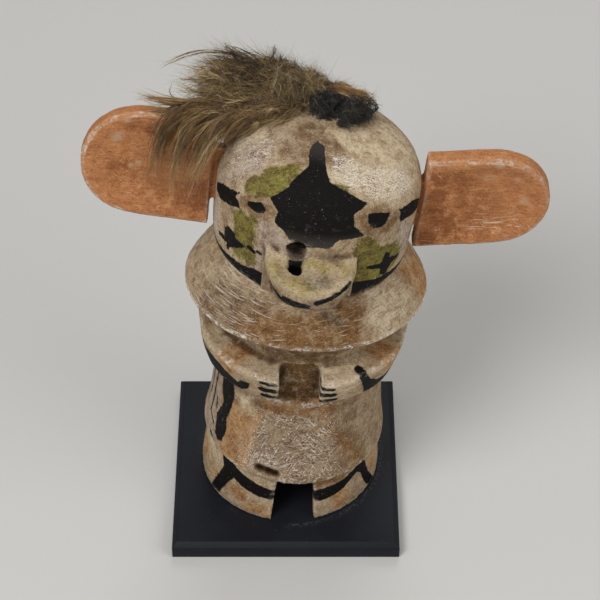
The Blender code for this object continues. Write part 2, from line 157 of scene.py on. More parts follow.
class DollSizes(bpy.types.PropertyGroup):
    """Sizes of the carving, the wear and the feathers."""

    wood_grid: length_property("Wood grid", "Spacing of the figure's mesh", 0.00111, 0.0005, 0.004)
    ear_grid: length_property("Ear grid", "Spacing of an ear's mesh", 0.00056, 0.0003, 0.003)
    knife_depth: length_property("Knife marks", "Depth of the carver's uneven cuts", 0.00034, 0.0, 0.001)
    chip_depth: length_property("Chips", "Depth of the chips on worn edges", 0.0007, 0.0, 0.002)
    knot_depth: length_property("Knot hole", "Depth of the hollow at the kilt's hem", 0.0021, 0.0, 0.004)
    barb_width: length_property("Barb width", "Thickness of a barb at its foot", 0.00017, 0.00005, 0.0006)
    plate_edge: length_property("Plate edge", "Rounding of the stand's edges", 0.0004, 0.0001, 0.002)


class DollColours(bpy.types.PropertyGroup):
    """Colours of the paints, the feathers and the stand."""

    sand: colour_property("Sand", "Rubbed cream paint of the head and body", linear(180, 160, 130))
    cream: colour_property("Cream", "Cleaner cream paint", linear(200, 182, 152))
    chalk: colour_property("Chalk", "White scuffs, flecks and worn edges", linear(226, 216, 200))
    ash: colour_property("Ash", "Greyed paint at the left of the head", linear(172, 154, 136))
    drab: colour_property("Drab", "Dull brown of rubbed paint", linear(134, 110, 84))
    clay: colour_property("Clay", "Orange tan of the mantle's side, legs and arms", linear(177, 138, 94))
    ochre: colour_property("Ochre", "Ochre of the kilt and mantle", linear(134, 100, 62))
    umber: colour_property("Umber", "Shaded brown of the belly and chest", linear(106, 80, 50))
    black: colour_property("Black", "Black paint", linear(10, 10, 11))
    slate: colour_property("Slate", "Grey smears of the black paint", linear(72, 67, 63))
    green: colour_property("Green", "Moss green paint of the face", linear(118, 112, 46))
    olive: colour_property("Olive", "Yellow olive paint of the mouth", linear(166, 150, 92))
    orange: colour_property("Orange", "Orange paint of the ears", linear(182, 124, 80))
    # The ears' darker mottling and their painted shade.
    ear_mottle_and_shade: colour_property("Rust", "Darker mottling of the ears", linear(130, 76, 42))
    feather: colour_property("Feather", "Brown of the plume", linear(134, 108, 68))
    fawn: colour_property("Fawn", "Pale barbs of the plume", linear(206, 182, 134))
    bistre: colour_property("Bistre", "Dark brown of the plume", linear(52, 38, 25))
    raven: colour_property("Raven", "Black curled feathers", linear(19, 21, 21))
    amber: colour_property("Amber", "Hair by the dark feathers", linear(190, 132, 66))
    plate: colour_property("Plate", "Paint of the stand", linear(20, 22, 29))
    floor: colour_property("Floor", "Studio floor", linear(205, 204, 201))


class DollStage(bpy.types.PropertyGroup):
    """Camera and light of the stage."""

    elevation: FloatProperty(
        name="Elevation", description="Angle of the camera above the floor",
        default=math.radians(45), subtype="ANGLE", unit="ROTATION")
    distance: length_property("Distance", "From the camera to the point that it looks at", 1.18105, 0.3, 10.0)
    aim_x: length_property("Aim X", "Point on the stand's top in the picture's middle", 0.00719, -1.0, 1.0)
    aim_y: length_property("Aim Y", "Point on the stand's top in the picture's middle", 0.11733, -1.0, 1.0)
    aim_z: length_property("Aim Z", "Height of that point", 0.0095, -1.0, 1.0)
    lens: FloatProperty(
        name="Lens", description="Focal length in millimetres", default=126.0, min=10, max=500)


# Frames of the carving

def lean_frame():
    """The figure's own axis on the stand, leaning to +X."""
    foot = Vector((*FIGURE_OFFSET, STAND_TOP))
    return Matrix.Translation(foot) @ Matrix.Rotation(FIGURE_LEAN, 4, "Y")


def head_frame():
    """The head's lower edge on the leaning body, with its own roll."""
    neck = Matrix.Translation(Vector((0.0, 0.0, HEAD_BASE)))
    return lean_frame() @ neck @ Matrix.Rotation(HEAD_ROLL, 4, "Y")


def ear_frame(node):
    """An ear's place at the head's side, with its length along X."""
    side, gap, height, rise, tilt = EAR_POSES[node]
    place = Matrix.Translation(Vector((side * (HEAD_HALF_WIDTH + gap), 0.0, height)))
    turn = Matrix.Rotation(-side * rise, 4, "Y") @ Matrix.Rotation(-tilt, 4, "X")
    return head_frame() @ place @ turn


def crown_height(x, y):
    """Height of the crown over a point, in the head's frame."""
    distance = np.minimum(np.hypot(x / HEAD_HALF_WIDTH, y / HEAD_HALF_DEPTH), 1.0)
    dome = FIGURE_HEIGHT - HEAD_BASE - HEAD_WALL_HEIGHT
    return HEAD_WALL_HEIGHT + dome * (1.0 - distance ** DOME_POWER) ** (1.0 / DOME_POWER)


def into(place, points):
    """Points of the row frame, seen from a frame."""
    inverse = np.array(place.inverted())
    return points @ inverse[:3, :3].T + inverse[:3, 3]


def into_directions(place, directions):
    """Directions of the row frame, seen from a frame."""
    return directions @ np.array(place.inverted())[:3, :3].T


def out_of(place, points):
    """Points of a frame, in the row frame."""
    matrix = np.array(place)
    return points @ matrix[:3, :3].T + matrix[:3, 3]


# Arrays and random values

def step(value, low, high):
    """0 below low, 1 above high, and an easy curve between them."""
    share = np.clip((value - low) / (high - low), 0.0, 1.0)
    return share * share * (3.0 - 2.0 * share)


def lattice_noise(points, size, seed):
    """Smooth random values from -1 to 1, with lumps of about that size."""
    cells = points / size
    corner = np.floor(cells).astype(np.int64)
    part = cells - corner
    part = part * part * (3.0 - 2.0 * part)
    total = np.zeros(len(points))
    for offset in itertools.product((0, 1), repeat=3):
        at = corner + np.array(offset)
        key = at @ HASH_STEPS + seed * HASH_SEED
        key = (key ^ (key >> 13)) * HASH_SPREAD & 0x7FFFFFFF
        value = ((key ^ (key >> 15)) & 0xFFFF) / 32767.5 - 1.0
        weight = np.ones(len(points))
        for axis, up in enumerate(offset):
            weight = weight * (part[:, axis] if up else 1.0 - part[:, axis])
        total = total + value * weight
    return total


def rough_noise(points, size, seed, octaves=3):
    """Random values from about -1 to 1, with finer lumps on coarse ones."""
    total = np.zeros(len(points))
    for octave in range(octaves):
        total = total + lattice_noise(points, size / 2.0 ** octave, seed + octave) / 2.0 ** octave
    return total / 1.6


# Mesh helpers

def deselect_all():
    """Leaves no object selected."""
    for item in bpy.context.view_layer.objects:
        item.select_set(False)


def make_active(piece):
    """Selects this object alone."""
    deselect_all()
    bpy.context.view_layer.objects.active = piece
    piece.select_set(True)


def merged_copy(node, name):
    """A copy of a CAD node's mesh as a new piece, with its loose triangles joined."""
    piece = bpy.data.objects.new(name, frame["nodes"][node].data.copy())
    piece.data.name = name
    piece.data.materials.clear()
    bpy.context.scene.collection.objects.link(piece)
    make_active(piece)
    bpy.ops.object.mode_set(mode="EDIT")
    bpy.ops.mesh.select_all(action="SELECT")
    bpy.ops.mesh.remove_doubles(threshold=MERGE_DISTANCE)
    bpy.ops.object.mode_set(mode="OBJECT")
    bpy.ops.mesh.customdata_custom_splitnormals_clear()
    return piece


def apply_modifier(piece, name, kind, **settings):
    """Adds a modifier to a piece and applies it."""
    modifier = piece.modifiers.new(name, kind)
    for key, value in settings.items():
        setattr(modifier, key, value)
    make_active(piece)
    bpy.ops.object.modifier_apply(modifier=modifier.name)


def regrid(piece, spacing):
    """Gives a piece an even mesh with soft edges."""
    apply_modifier(piece, "Grid", "REMESH", mode="VOXEL", voxel_size=spacing, use_smooth_shade=True)
    apply_modifier(piece, "Soften", "SMOOTH", factor=0.5, iterations=3)


def vertex_points(piece):
    """The piece's vertices as an array of rows."""
    values = np.zeros(len(piece.data.vertices) * 3, np.float32)
    piece.data.vertices.foreach_get("co", values)
    return values.reshape(-1, 3).astype(float)


def vertex_normals(piece):
    """The piece's vertex normals as an array of rows."""
    values = np.zeros(len(piece.data.vertices) * 3, np.float32)
    piece.data.vertex_normals.foreach_get("vector", values)
    return values.reshape(-1, 3).astype(float)


def set_points(piece, points):
    """Moves the piece's vertices."""
    piece.data.vertices.foreach_set("co", points.astype(np.float32).ravel())
    piece.data.update()


def neighbour_mean(piece, values):
    """The mean of each vertex's neighbours, over the mesh's edges."""
    edges = np.zeros(len(piece.data.edges) * 2, np.int32)
    piece.data.edges.foreach_get("vertices", edges)
    first, second = edges.reshape(-1, 2).T
    count = len(piece.data.vertices)
    links = np.bincount(first, minlength=count) + np.bincount(second, minlength=count)
    columns = []
    for column in np.atleast_2d(values.T):
        total = np.bincount(first, column[second], count) + np.bincount(second, column[first], count)
        columns.append(total / np.maximum(links, 1))
    return np.array(columns).T.reshape(values.shape)


def hollowness(piece, rounds):
    """How far each vertex lies under its surroundings, in metres: above 0 in hollows, below 0 on edges."""
    points = vertex_points(piece)
    mean = points
    for _ in range(rounds):
        mean = neighbour_mean(piece, mean)
    return np.einsum("ij,ij->i", mean - points, vertex_normals(piece))


def set_attribute(piece, name, values):
    """Keeps one number for each vertex, for the materials to read."""
    made = piece.data.attributes.new(name, "FLOAT", "POINT")
    made.data.foreach_set("value", np.asarray(values, np.float32))


def set_colour(piece, name, rows):
    """Keeps one colour for each vertex, for the materials to read."""
    made = piece.data.attributes.new(name, "FLOAT_COLOR", "POINT")
    values = np.hstack([rows, np.ones((len(rows), 1))])
    made.data.foreach_set("color", values.astype(np.float32).ravel())


def settle(piece, material, node=None):
    """Gives a finished piece its material and its body, and hides the node that it stands for."""
    piece.data.materials.clear()
    piece.data.materials.append(material)
    make_active(piece)
    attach(piece, "root")
    if node:
        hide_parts(node)


# Painted shapes, as distances in millimetres that are above 0 inside

def outline_depth(across, up, outline):
    """How deep each point lies inside a closed outline, below 0 outside it."""
    nearest = np.full(len(across), 1e9)
    inside = np.zeros(len(across), bool)
    for (ax, ay), (bx, by) in zip(outline, outline[1:] + outline[:1]):
        dx = bx - ax
        dy = by - ay
        share = np.clip(((across - ax) * dx + (up - ay) * dy) / (dx * dx + dy * dy), 0.0, 1.0)
        nearest = np.minimum(nearest, np.hypot(across - ax - share * dx, up - ay - share * dy))
        if ay != by:
            crosses = (ay > up) != (by > up)
            inside ^= crosses & (across < ax + (up - ay) * dx / dy)
    return np.where(inside, nearest, -nearest)


def stroke_depth(across, up, start, end, half_width):
    """How deep each point lies inside a brush stroke with round ends."""
    dx = end[0] - start[0]
    dy = end[1] - start[1]
    share = np.clip(((across - start[0]) * dx + (up - start[1]) * dy) / (dx * dx + dy * dy), 0.0, 1.0)
    return half_width - np.hypot(across - start[0] - share * dx, up - start[1] - share * dy)


# Head paint: distance round the head from its front, and height along its profile, in millimetres.
STAR = [
    (-19.5, 103), (-23, 97.5), (-14.5, 85), (-19, 76), (-22.5, 64.5), (-28, 56), (-21.5, 50), (-22, 43),
    (-12.5, 36.5), (-5.5, 33.5), (5, 33.5), (8.5, 39), (20.5, 39.5), (15.5, 47), (15.5, 54), (24, 59.5),
    (13.5, 69), (3, 76.5), (0, 87), (-2.5, 100),
]
LEFT_DASH = [
    (-66, 35.5), (-57, 42), (-46.5, 46.5), (-42, 49), (-45.5, 44), (-42, 42), (-41.5, 39), (-46.5, 36.5),
    (-58.5, 31.5), (-66, 31),
]
RIGHT_DASH = [
    (66, 36), (52, 45.5), (43, 46.5), (40, 49), (42, 44.5), (41, 41.5), (42, 38), (47, 37.5), (56, 34),
    (66, 30),
]
LEFT_EYE = [(-37.5, 47), (-31, 51), (-27, 48), (-28.5, 45), (-31.5, 43.5), (-37.5, 44)]
RIGHT_EYE = [(22.5, 53), (28, 52), (35.5, 48.5), (32, 42.5), (29, 41.5), (24, 43.5), (22, 48)]
LEFT_CROSS = [
    (-50.5, 20.5), (-48, 23.5), (-45.5, 24), (-42, 22.5), (-41.5, 20.5), (-34.5, 20.5), (-37, 18),
    (-41, 15), (-45.5, 12), (-46, 9.5), (-48.5, 9), (-49, 12.5), (-58, 11), (-57, 13.5), (-51, 15),
]
RIGHT_CROSS = [
    (35, 24), (38.5, 21.5), (39.5, 18), (48.5, 15), (48, 13.5), (42.5, 13), (40.5, 10.5), (39, 8),
    (34.5, 9.5), (34, 13.5), (25, 17.5), (24.5, 19.5), (34, 17.5),
]
CHEEK_MARKS = [((-32.8, 21.3), (-29.8, 20.5), 1.3), ((-28, 21.7), (-26, 21.2), 0.9)]
BAND_TOP_MM = 7.5
BLACK_FACE_SHAPES = (STAR, LEFT_DASH, RIGHT_DASH, LEFT_EYE, RIGHT_EYE, LEFT_CROSS, RIGHT_CROSS)
GREENS = [
    [(-43.5, 61), (-40, 66.5), (-40.5, 72.5), (-34.5, 77), (-28, 82), (-19, 84), (-18, 76), (-21, 64),
     (-26, 57), (-35.5, 52), (-41.5, 50), (-44, 52)],
    [(-45, 36.5), (-41, 39), (-32.5, 41), (-29.5, 38.5), (-31, 25.5), (-27.5, 18), (-28, 12.5), (-43, 9),
     (-44.5, 28)],
    [(3, 78), (14, 72.5), (12, 69), (4, 73)],
    [(17, 37), (24, 38), (29, 32), (34.5, 29), (41.5, 26), (48.5, 18.5), (48, 11), (40, 7), (17, 7),
     (16.5, 24)],
]
EYE_STAINS = [
    [(-45, 45.5), (-41.5, 49), (-35.5, 52), (-28.5, 55), (-25.5, 53), (-21.5, 49), (-21.5, 45.5),
     (-25, 42), (-33.5, 40.5), (-41.5, 41)],
    [(22.5, 57), (33, 56), (36, 51.5), (41, 47.5), (41, 43), (35, 38.5), (32.5, 33.5), (25.5, 33),
     (20, 42), (15, 48), (14.5, 53)],
]
# Areas of the head: colour, softness of the edge, outline.
HEAD_AREAS = [
    ("cream", 9.0, [(2, 116), (60, 116), (90, 80), (80, 40), (36, 50), (14, 66), (2, 80)]),
    ("drab", 9.0, [(-130, 122), (-8, 122), (0, 104), (-6, 84), (-30, 88), (-50, 90), (-80, 100)]),
    ("ash", 8.0, [(-90, 50), (-84, 84), (-58, 90), (-42, 78), (-44, 58), (-56, 46), (-60, 8), (-96, 8)]),
    ("ash", 3.0, [(-30, 40), (-22, 41), (-6, 33), (-20, 6), (-32, 6)]),
    ("ash", 4.0, [(40, 38), (52, 36), (60, 12), (49, 14), (41, 26)]),
    ("drab", 6.0, [(-8, 108), (26, 106), (30, 94), (14, 84), (2, 88)]),
    ("cream", 3.0, [(-10, 109), (-6, 114), (12, 114), (10, 107)]),
    ("drab", 5.0, [(-44, 92), (-20, 90), (-18, 78), (-30, 84), (-46, 84)]),
    ("cream", 6.0, [(-64, 8), (-62, 84), (-92, 84), (-98, 8)]),
    ("cream", 4.0, [(22, 112), (22, 126), (60, 126), (60, 112)]),
]
FLECKED = [
    (0.8, [(-68, 58), (-72.5, 65), (-71.5, 80), (-58.5, 88), (-42, 80), (-44, 60.5), (-46.5, 52),
           (-56, 46)]),
    (1.0, [(5, 96), (24, 92), (42, 80), (58, 68), (60, 52), (46, 52), (33, 56), (16, 70), (5, 78)]),
    (0.9, [(-96, 8), (-96, 60), (-68, 58), (-56, 32), (-52, 8)]),
    (0.8, [(41, 38), (54, 36), (60, 10), (50, 12), (43, 26)]),
    (0.5, [(-60, 100), (-20, 100), (-22, 84), (-60, 86)]),
]

# Mouth paint, as brush strokes in the head's frame: start, end and half width, in millimetres. The last two
# lay black into the groove's two carved holes, as painted shade.
MOUTH_STROKES = [
    ((-21.0, -53.0, 19.4), (-16.2, -60.5, 15.6), 1.7), ((-14.4, -62.5, 17.0), (-4.2, -65.8, 16.8), 2.5),
    ((1.0, -66.0, 20.0), (8.4, -62.5, 22.6), 1.7), ((8.4, -62.5, 22.6), (15.0, -56.5, 24.5), 1.6),
    ((-6.8, -36.0, 26.0), (-6.8, -38.5, 25.5), 1.9), ((-6.8, -50.0, 24.0), (-6.8, -54.0, 14.0), 3.8),
]
MOUTH_SMEARS = [
    ((-6.5, -41.0, 28.0), (7.0, -42.5, 28.0), 3.2), ((-6.8, -38.0, 25.0), (-6.8, -51.0, 23.0), 3.6),
    ((-6.0, -42.0, 26.0), (-5.0, -48.0, 26.0), 4.0),
    ((-2.0, -60.5, 25.0), (5.0, -58.0, 25.5), 2.5),
]
OLIVE_FROM_Y_MM = -47.0

# Body paint: degrees round the body from its front, and height, in millimetres.
BODY_ROUND_MM = 42.0
KILT_STRIPE = [
    (-64, 84), (-53, 84), (-48.5, 76), (-49.5, 68.5), (-51.5, 61.5), (-53.5, 55), (-52.5, 46), (-54.5, 38),
    (-59, 36.5), (-63, 38), (-64.5, 43), (-66, 50.5), (-61.5, 58.5), (-59.5, 62.5), (-61.5, 66), (-63, 71),
]
THIN_STRIPES = [((-71, 82), (-76, 45), 0.9), ((-73.5, 44.5), (-68, 42), 1.0), ((-69, 60), (-67.5, 53), 0.8),
                ((-80, 80), (-84, 52), 1.0), ((-68, 35), (-63, 32.5), 1.2)]
LEFT_LEG_BAND = [
    (-57, 30), (-50, 30), (-38, 25), (-29.5, 23), (-22, 21.5), (-8, 20.5), (-8, 13.5), (-22.5, 13.5),
    (-31, 14.5), (-38.5, 16.5), (-42, 18), (-46, 12.5), (-49.5, 6.5), (-53, 0), (-63, -2), (-60.5, 4),
    (-54.5, 15.5), (-52.5, 20.5),
]
RIGHT_LEG_BAND = [
    (9, 21), (22, 22), (37.5, 23.5), (44.5, 25.5), (54, 30), (58, 24), (61.5, 14.5), (70, 4), (66, 1),
    (59, 6), (55, 12), (53, 18), (49, 22), (43.5, 20), (37.5, 17), (29.5, 14.8), (19, 13.2), (9, 14.5),
]
LEFT_ARM_PATCH = [
    (-80, 98), (-61.5, 100.5), (-52, 99.5), (-42, 96), (-39, 95), (-36, 99), (-30, 100), (-32, 94),
    (-38, 88), (-44, 84), (-110, 78), (-112, 84), (-96, 92),
]
RIGHT_ARM_PATCH = [
    (35, 108), (37, 107.5), (41, 101), (48, 96), (57.5, 93), (70, 92), (108, 86), (112, 78), (60, 82),
    (46, 86), (41, 87), (37, 96.5), (33.5, 103.5), (31.5, 107),
]
SHELF_SPUR = ((34.5, 45.5), (35.0, 50.0), 1.9)
FINGER_STROKES = [
    ((-22.5, 104.4), (-15, 105.4), 1.3), ((-23, 98.4), (-15.5, 99.8), 2.0), ((-22.5, 93), (-14.5, 93.6),
                                                                             1.8),
    ((10.8, 105.2), (17, 103.2), 1.3), ((11, 99.4), (17.5, 98), 1.8), ((11.5, 93.4), (19.5, 93), 1.6),
]
# Areas of the body: colour, softness of the edge, lowest and highest height, outline.
BELLY_HEIGHTS_MM = (84, 109)
BODY_AREAS = [
    ("drab", 5.0, 128, 160, [(-68, 128), (-66, 150), (-20, 152), (-24, 138), (-36, 128)]),
    ("ochre", 3.5, 128, 160, [(-36, 126), (-42, 135), (-34, 142), (-16, 146), (0, 149), (20, 153),
                              (38, 153), (48, 145), (46, 134), (30, 126), (0, 124), (-30, 124)]),
    ("cream", 5.0, 128, 160, [(34, 134), (40, 152), (62, 150), (64, 136), (52, 128)]),
    ("clay", 5.0, 128, 160, [(74, 126), (72, 152), (98, 150), (98, 126)]),
    ("clay", 2.5, 31, 86, [(-49, 74), (-43, 70.5), (-36, 70), (-25, 74), (-27.5, 64), (-30, 56),
                           (-30, 40), (-32, 30), (-56, 30), (-54.5, 39), (-52.5, 46), (-53.5, 54),
                           (-52, 64)]),
    ("ochre", 3.0, 31, 86, [(10, 86), (22, 80), (26, 66), (34, 56), (42, 48), (52, 36), (54, 28),
                            (38, 28), (34, 44), (26, 55), (14, 66)]),
    ("ochre", 5.0, 31, 90, [(-30, 86), (30, 86), (24, 77), (0, 76), (-26, 72)]),
    ("cream", 3.0, 31, 88, [(-48, 76), (-34, 82), (-34, 70), (-43, 69)]),
    ("ash", 6.0, 31, 88, [(-66, 84), (-90, 84), (-95, 31), (-66, 31)]),
    ("umber", 2.0, *BELLY_HEIGHTS_MM, [(-16, 112), (12, 112), (13, 86), (-17, 86)]),
    ("clay", 2.5, 86, 109, [(-54, 110), (-38, 110), (-38, 101), (-44, 97), (-54, 100)]),
    ("clay", 2.5, 86, 109, [(48, 110), (64, 110), (64, 99), (52, 98)]),
    ("cream", 2.0, 86, 109, [(13, 110), (34, 110), (32, 86), (12, 86)]),
    ("cream", 3.0, 0, 31, [(-56, 31), (-84, 31), (-84, 18), (-60, 16)]),
    ("clay", 3.0, 0, 31, [(-90, 18), (-74, 20), (-70, 12), (-84, 8)]),
    ("clay", 3.0, 0, 31, [(-64, 16), (-57, 12), (-60, 3), (-66, 5)]),
    ("clay", 3.0, 0, 31, [(-44, 14), (-34, 12), (-34, 5), (-42, 7)]),
    ("clay", 3.0, 0, 31, [(-33, 9), (-12, 9), (-12, 0), (-33, 0)]),
    ("ochre", 2.0, 0, 31, [(10, 31), (40, 31), (37, 24), (10, 22)]),
    ("clay", 3.0, 0, 31, [(58, 31), (76, 28), (72, 8), (62, 16)]),
    ("clay", 3.0, 0, 31, [(29, 17), (38, 18), (42, 2), (30, 4)]),
]
KNOT_HOLE = ((-23, 36.8), (-12.5, 36), 2.0)
DRIP = ((10, 148.5), (18, 144), 2.2)
DEEPEST_MM = 8.0


class Surface:
    """The figure's vertices, seen from the head and from the body, for placing paint."""

    def __init__(self, points):
        head = into(head_frame(), points)
        body = into(lean_frame(), points)
        self.points = points
        self.head = head / MM
        reach = np.hypot(head[:, 0] / HEAD_HALF_WIDTH, head[:, 1] / HEAD_HALF_DEPTH)
        around = np.arctan2(head[:, 0] / HEAD_HALF_WIDTH, -head[:, 1] / HEAD_HALF_DEPTH)
        self.reach = reach
        self.across = around * HEAD_HALF_WIDTH / MM
        self.up = (head[:, 2] + HEAD_HALF_WIDTH * (1.0 - reach)) / MM
        self.angle = np.degrees(np.arctan2(body[:, 0], -body[:, 1]))
        self.height = body[:, 2] / MM
        self.radius = np.hypot(body[:, 0], body[:, 1]) / MM
        self.around = np.radians(self.angle) * BODY_ROUND_MM
        self.on_head = head[:, 2] > 0.0
        in_mouth = (reach > MOUTH_STARTS) & (head[:, 1] < 0.0) & (np.abs(head[:, 0]) < MOUTH_HALF_WIDTH)
        self.on_mouth = self.on_head & in_mouth
        self.on_face = self.on_head & ~self.on_mouth
        self.on_legs = self.height < LEG_TOP_MM
        self.on_kilt = self.between(LEG_TOP_MM, KILT_TOP_MM) & (self.radius < KILT_RADIUS_MM)
        self.on_belly = self.between(ARM_LOW_MM, ARM_TOP_MM) & (self.radius < BELLY_RADIUS_MM)
        self.knot = self.only(self.height < 60.0, self.body_stroke(*KNOT_HOLE))
        self.wander = rough_noise(points, 0.006, 401)

    def between(self, low, high):
        """Which vertices of the body lie between two heights."""
        return (self.height > low) & (self.height < high) & ~self.on_head

    def only(self, where, depth):
        """A depth where a place holds, and far outside elsewhere."""
        return np.where(where, depth, -DEEPEST_MM)

    def face_shape(self, outline):
        """Depth inside an outline on the head."""
        return self.only(self.on_face, outline_depth(self.across, self.up, outline))

    def body_shape(self, outline):
        """Depth inside an outline on the body, given in degrees and millimetres."""
        flat = [(math.radians(angle) * BODY_ROUND_MM, height) for angle, height in outline]
        return self.only(~self.on_head, outline_depth(self.around, self.height, flat))

    def body_stroke(self, start, end, half_width):
        """Depth inside a brush stroke on the body, given in degrees and millimetres."""
        ends = [(math.radians(angle) * BODY_ROUND_MM, height) for angle, height in (start, end)]
        return self.only(~self.on_head, stroke_depth(self.around, self.height, *ends, half_width))

    def mouth_stroke(self, start, end, half_width):
        """Depth inside a brush stroke on the mouth, given in the head's frame."""
        line = np.array(end) - np.array(start)
        offset = self.head - np.array(start)
        share = np.clip(offset @ line / (line @ line), 0.0, 1.0)
        return self.only(self.on_head, half_width - np.linalg.norm(offset - share[:, None] * line, axis=1))


def black_paint(surface):
    """Depth inside everything that is painted black, with the painted shade in the mouth's holes among it."""
    depths = [surface.face_shape(outline) for outline in BLACK_FACE_SHAPES]
    for start, end, half_width in CHEEK_MARKS:
        mark = stroke_depth(surface.across, surface.up, start, end, half_width)
        depths.append(surface.only(surface.on_face, mark))
    near_mouth = np.exp(-((np.abs(surface.across + 2.0) - 24.0) / 9.0) ** 2)
    band = BAND_TOP_MM + 3.0 * near_mouth - 2.2 * step(np.abs(surface.across), 40.0, 60.0) - surface.up
    depths.append(surface.only(surface.on_face & (surface.reach > 0.8), band))
    for start, end, half_width in MOUTH_STROKES:
        depths.append(surface.mouth_stroke(start, end, half_width))
    depths.append(surface.only(surface.on_kilt, surface.body_shape(KILT_STRIPE)))
    for start, end, half_width in THIN_STRIPES:
        depths.append(surface.only(surface.on_kilt, surface.body_stroke(start, end, half_width)))
    for outline in (LEFT_LEG_BAND, RIGHT_LEG_BAND):
        depths.append(surface.only(surface.on_legs, surface.body_shape(outline)))
    on_arms = (surface.radius > 43.0) & surface.between(ARM_LOW_MM, 107.3)
    for outline in (LEFT_ARM_PATCH, RIGHT_ARM_PATCH):
        depths.append(surface.only(on_arms, surface.body_shape(outline)))
    for start, end, half_width in FINGER_STROKES:
        depths.append(surface.only(on_arms, surface.body_stroke(start, end, half_width)))
    on_shelf = surface.between(105.5, 110.0)
    turned = np.radians(surface.angle) * surface.radius
    start, end, half_width = SHELF_SPUR
    ends = [(math.radians(angle) * radius, radius) for angle, radius in (start, end)]
    depths.append(surface.only(on_shelf, stroke_depth(turned, surface.radius, *ends, half_width)))
    return np.clip(np.max(depths, axis=0), -DEEPEST_MM, DEEPEST_MM)


def green_paint(surface):
    """Depth inside the green patches of the face."""
    depths = [surface.face_shape(outline) for outline in GREENS]
    return np.clip(np.max(depths, axis=0), -DEEPEST_MM, DEEPEST_MM)


class Paint:
    """Colours laid over each other on the figure's vertices."""

    def __init__(self, surface, colours, first):
        self.surface = surface
        self.colours = colours
        self.rows = np.tile(np.array(getattr(colours, first)), (len(surface.points), 1))

    def lay(self, name, share):
        """Covers a share of what lies below."""
        self.rows = self.rows + share[:, None] * (np.array(getattr(self.colours, name)) - self.rows)

    def lay_area(self, name, softness, depth):
        """Covers an area with a soft, wandering edge."""
        self.lay(name, step(depth + self.surface.wander * softness, -softness, softness))


def base_colours(surface, colours):
    """The figure's broad areas of colour, one colour for each vertex."""
    paint = Paint(surface, colours, "sand")
    angle = surface.angle
    height = surface.height
    body = ~surface.on_head
    for name, softness, outline in HEAD_AREAS:
        paint.lay_area(name, softness, surface.face_shape(outline))
    for outline in EYE_STAINS:
        depth = surface.face_shape(outline)
        paint.lay("drab", 0.75 * step(depth + surface.wander * 2.0, -1.8, 1.8))
        paint.lay("ochre", 0.40 * step(depth + surface.wander * 5.0, -2.0, 3.0))
    below_ridge = step(height, 108.5, 111.0) * (1.0 - step(height, 127.5, 130.0)) * body
    paint.lay("drab", below_ridge * (0.75 - 0.75 * step(angle, 16.0, 45.0) - 0.15 * step(-angle, 20.0, 60.0)))
    paint.lay("umber", below_ridge * (1.0 - step(np.abs(angle + 2.0), 14.0, 34.0)) * 0.75)
    kilt = step(height, 30.5, 32.0) * (1.0 - step(height, 84.0, 90.0)) * body
    paint.lay("drab", kilt * (0.45 + 0.5 * (1.0 - step(np.abs(angle), 34.0, 50.0))))
    for name, softness, low, high, outline in BODY_AREAS:
        inside = (height > low) & (height < high)
        if (low, high) == BELLY_HEIGHTS_MM:
            inside = inside & (surface.radius < BELLY_RADIUS_MM)
        paint.lay_area(name, softness, surface.only(inside, surface.body_shape(outline)))
    paint.lay("umber", (1.0 - step(height, -1.0, 3.0)) * body * 0.3)
    olive = step(-surface.head[:, 1], -OLIVE_FROM_Y_MM - 3.0, -OLIVE_FROM_Y_MM + 5.0) * surface.on_mouth
    paint.lay("cream", surface.on_mouth * 0.4)
    paint.lay("drab", surface.on_mouth * (1.0 - step(surface.head[:, 2], 17.0, 25.0)) * 0.85)
    olive = olive * step(surface.head[:, 2], 21.0, 25.0) * step(surface.wander, -0.5, 0.2)
    paint.lay("olive", olive * 0.85)
    for start, end, half_width in MOUTH_SMEARS:
        paint.lay("slate", step(surface.mouth_stroke(start, end, half_width), -2.0, 2.0) * 0.55)
    paint.lay("slate", step(surface.body_stroke(*DRIP), -1.5, 1.5) * 0.55 * (height > 130.0))
    paint.lay("umber", step(surface.knot, -1.2, 0.6) * 0.85)
    paint.lay("black", step(surface.knot, 0.2, 1.6) * 0.6)
    return paint.rows


def scuff_density(surface):
    """How thickly fine white strokes lie on each place, from 0 to 1."""
    angle = surface.angle
    height = surface.height
    kilt = step(height, LEG_TOP_MM, 36.0) * (1.0 - step(height, 72.0, ARM_LOW_MM))
    kilt_front = kilt * (0.35 + 0.45 * (1.0 - step(np.abs(angle + 3.0), 24.0, 38.0)))
    low_left = kilt * (1.0 - step(np.hypot((angle + 24.0) / 1.4, height - 40.0), 8.0, 18.0)) * 0.9
    sides = 0.3 * step(-angle, 20.0, 35.0) + 0.2 * step(angle, 20.0, 40.0)
    mantle = step(height, MANTLE_LOW_MM, 131.0) * (0.45 + sides)
    turn = np.abs(angle)
    mantle = mantle * (1.0 - 0.7 * step(turn, 62.0, 76.0) * (1.0 - step(turn, 90.0, 110.0)))
    legs = 0.32 * surface.on_legs
    arms = 0.30 * ((height > ARM_LOW_MM) & (height < ARM_TOP_MM))
    band = 0.22 * ((height > ARM_TOP_MM) & (height < MANTLE_LOW_MM))
    body = np.max([kilt_front, low_left, mantle, legs, arms, band], axis=0)
    body = body * (1.0 - step(surface.knot, -1.5, 0.5))
    in_gap = (turn < HAND_GAP_DEGREES) & surface.on_belly
    body = np.where(in_gap, 0.0, body)
    return np.where(surface.on_head, 0.10, body)


def fleck_density(surface):
    """How thickly white flecks lie on the head, from 0 to 1."""
    total = np.where(surface.on_face, 0.22, 0.0)
    for density, outline in FLECKED:
        total = np.maximum(total, density * step(surface.face_shape(outline), -6.0, 4.0))
    return total


GROOVE_X_MM = -6.8
GROOVE_SHIFT_MM = (-2.8, 4.2)
MOUTH_MIDDLE_MM = -2.3
MOUTH_TAPER = 0.26


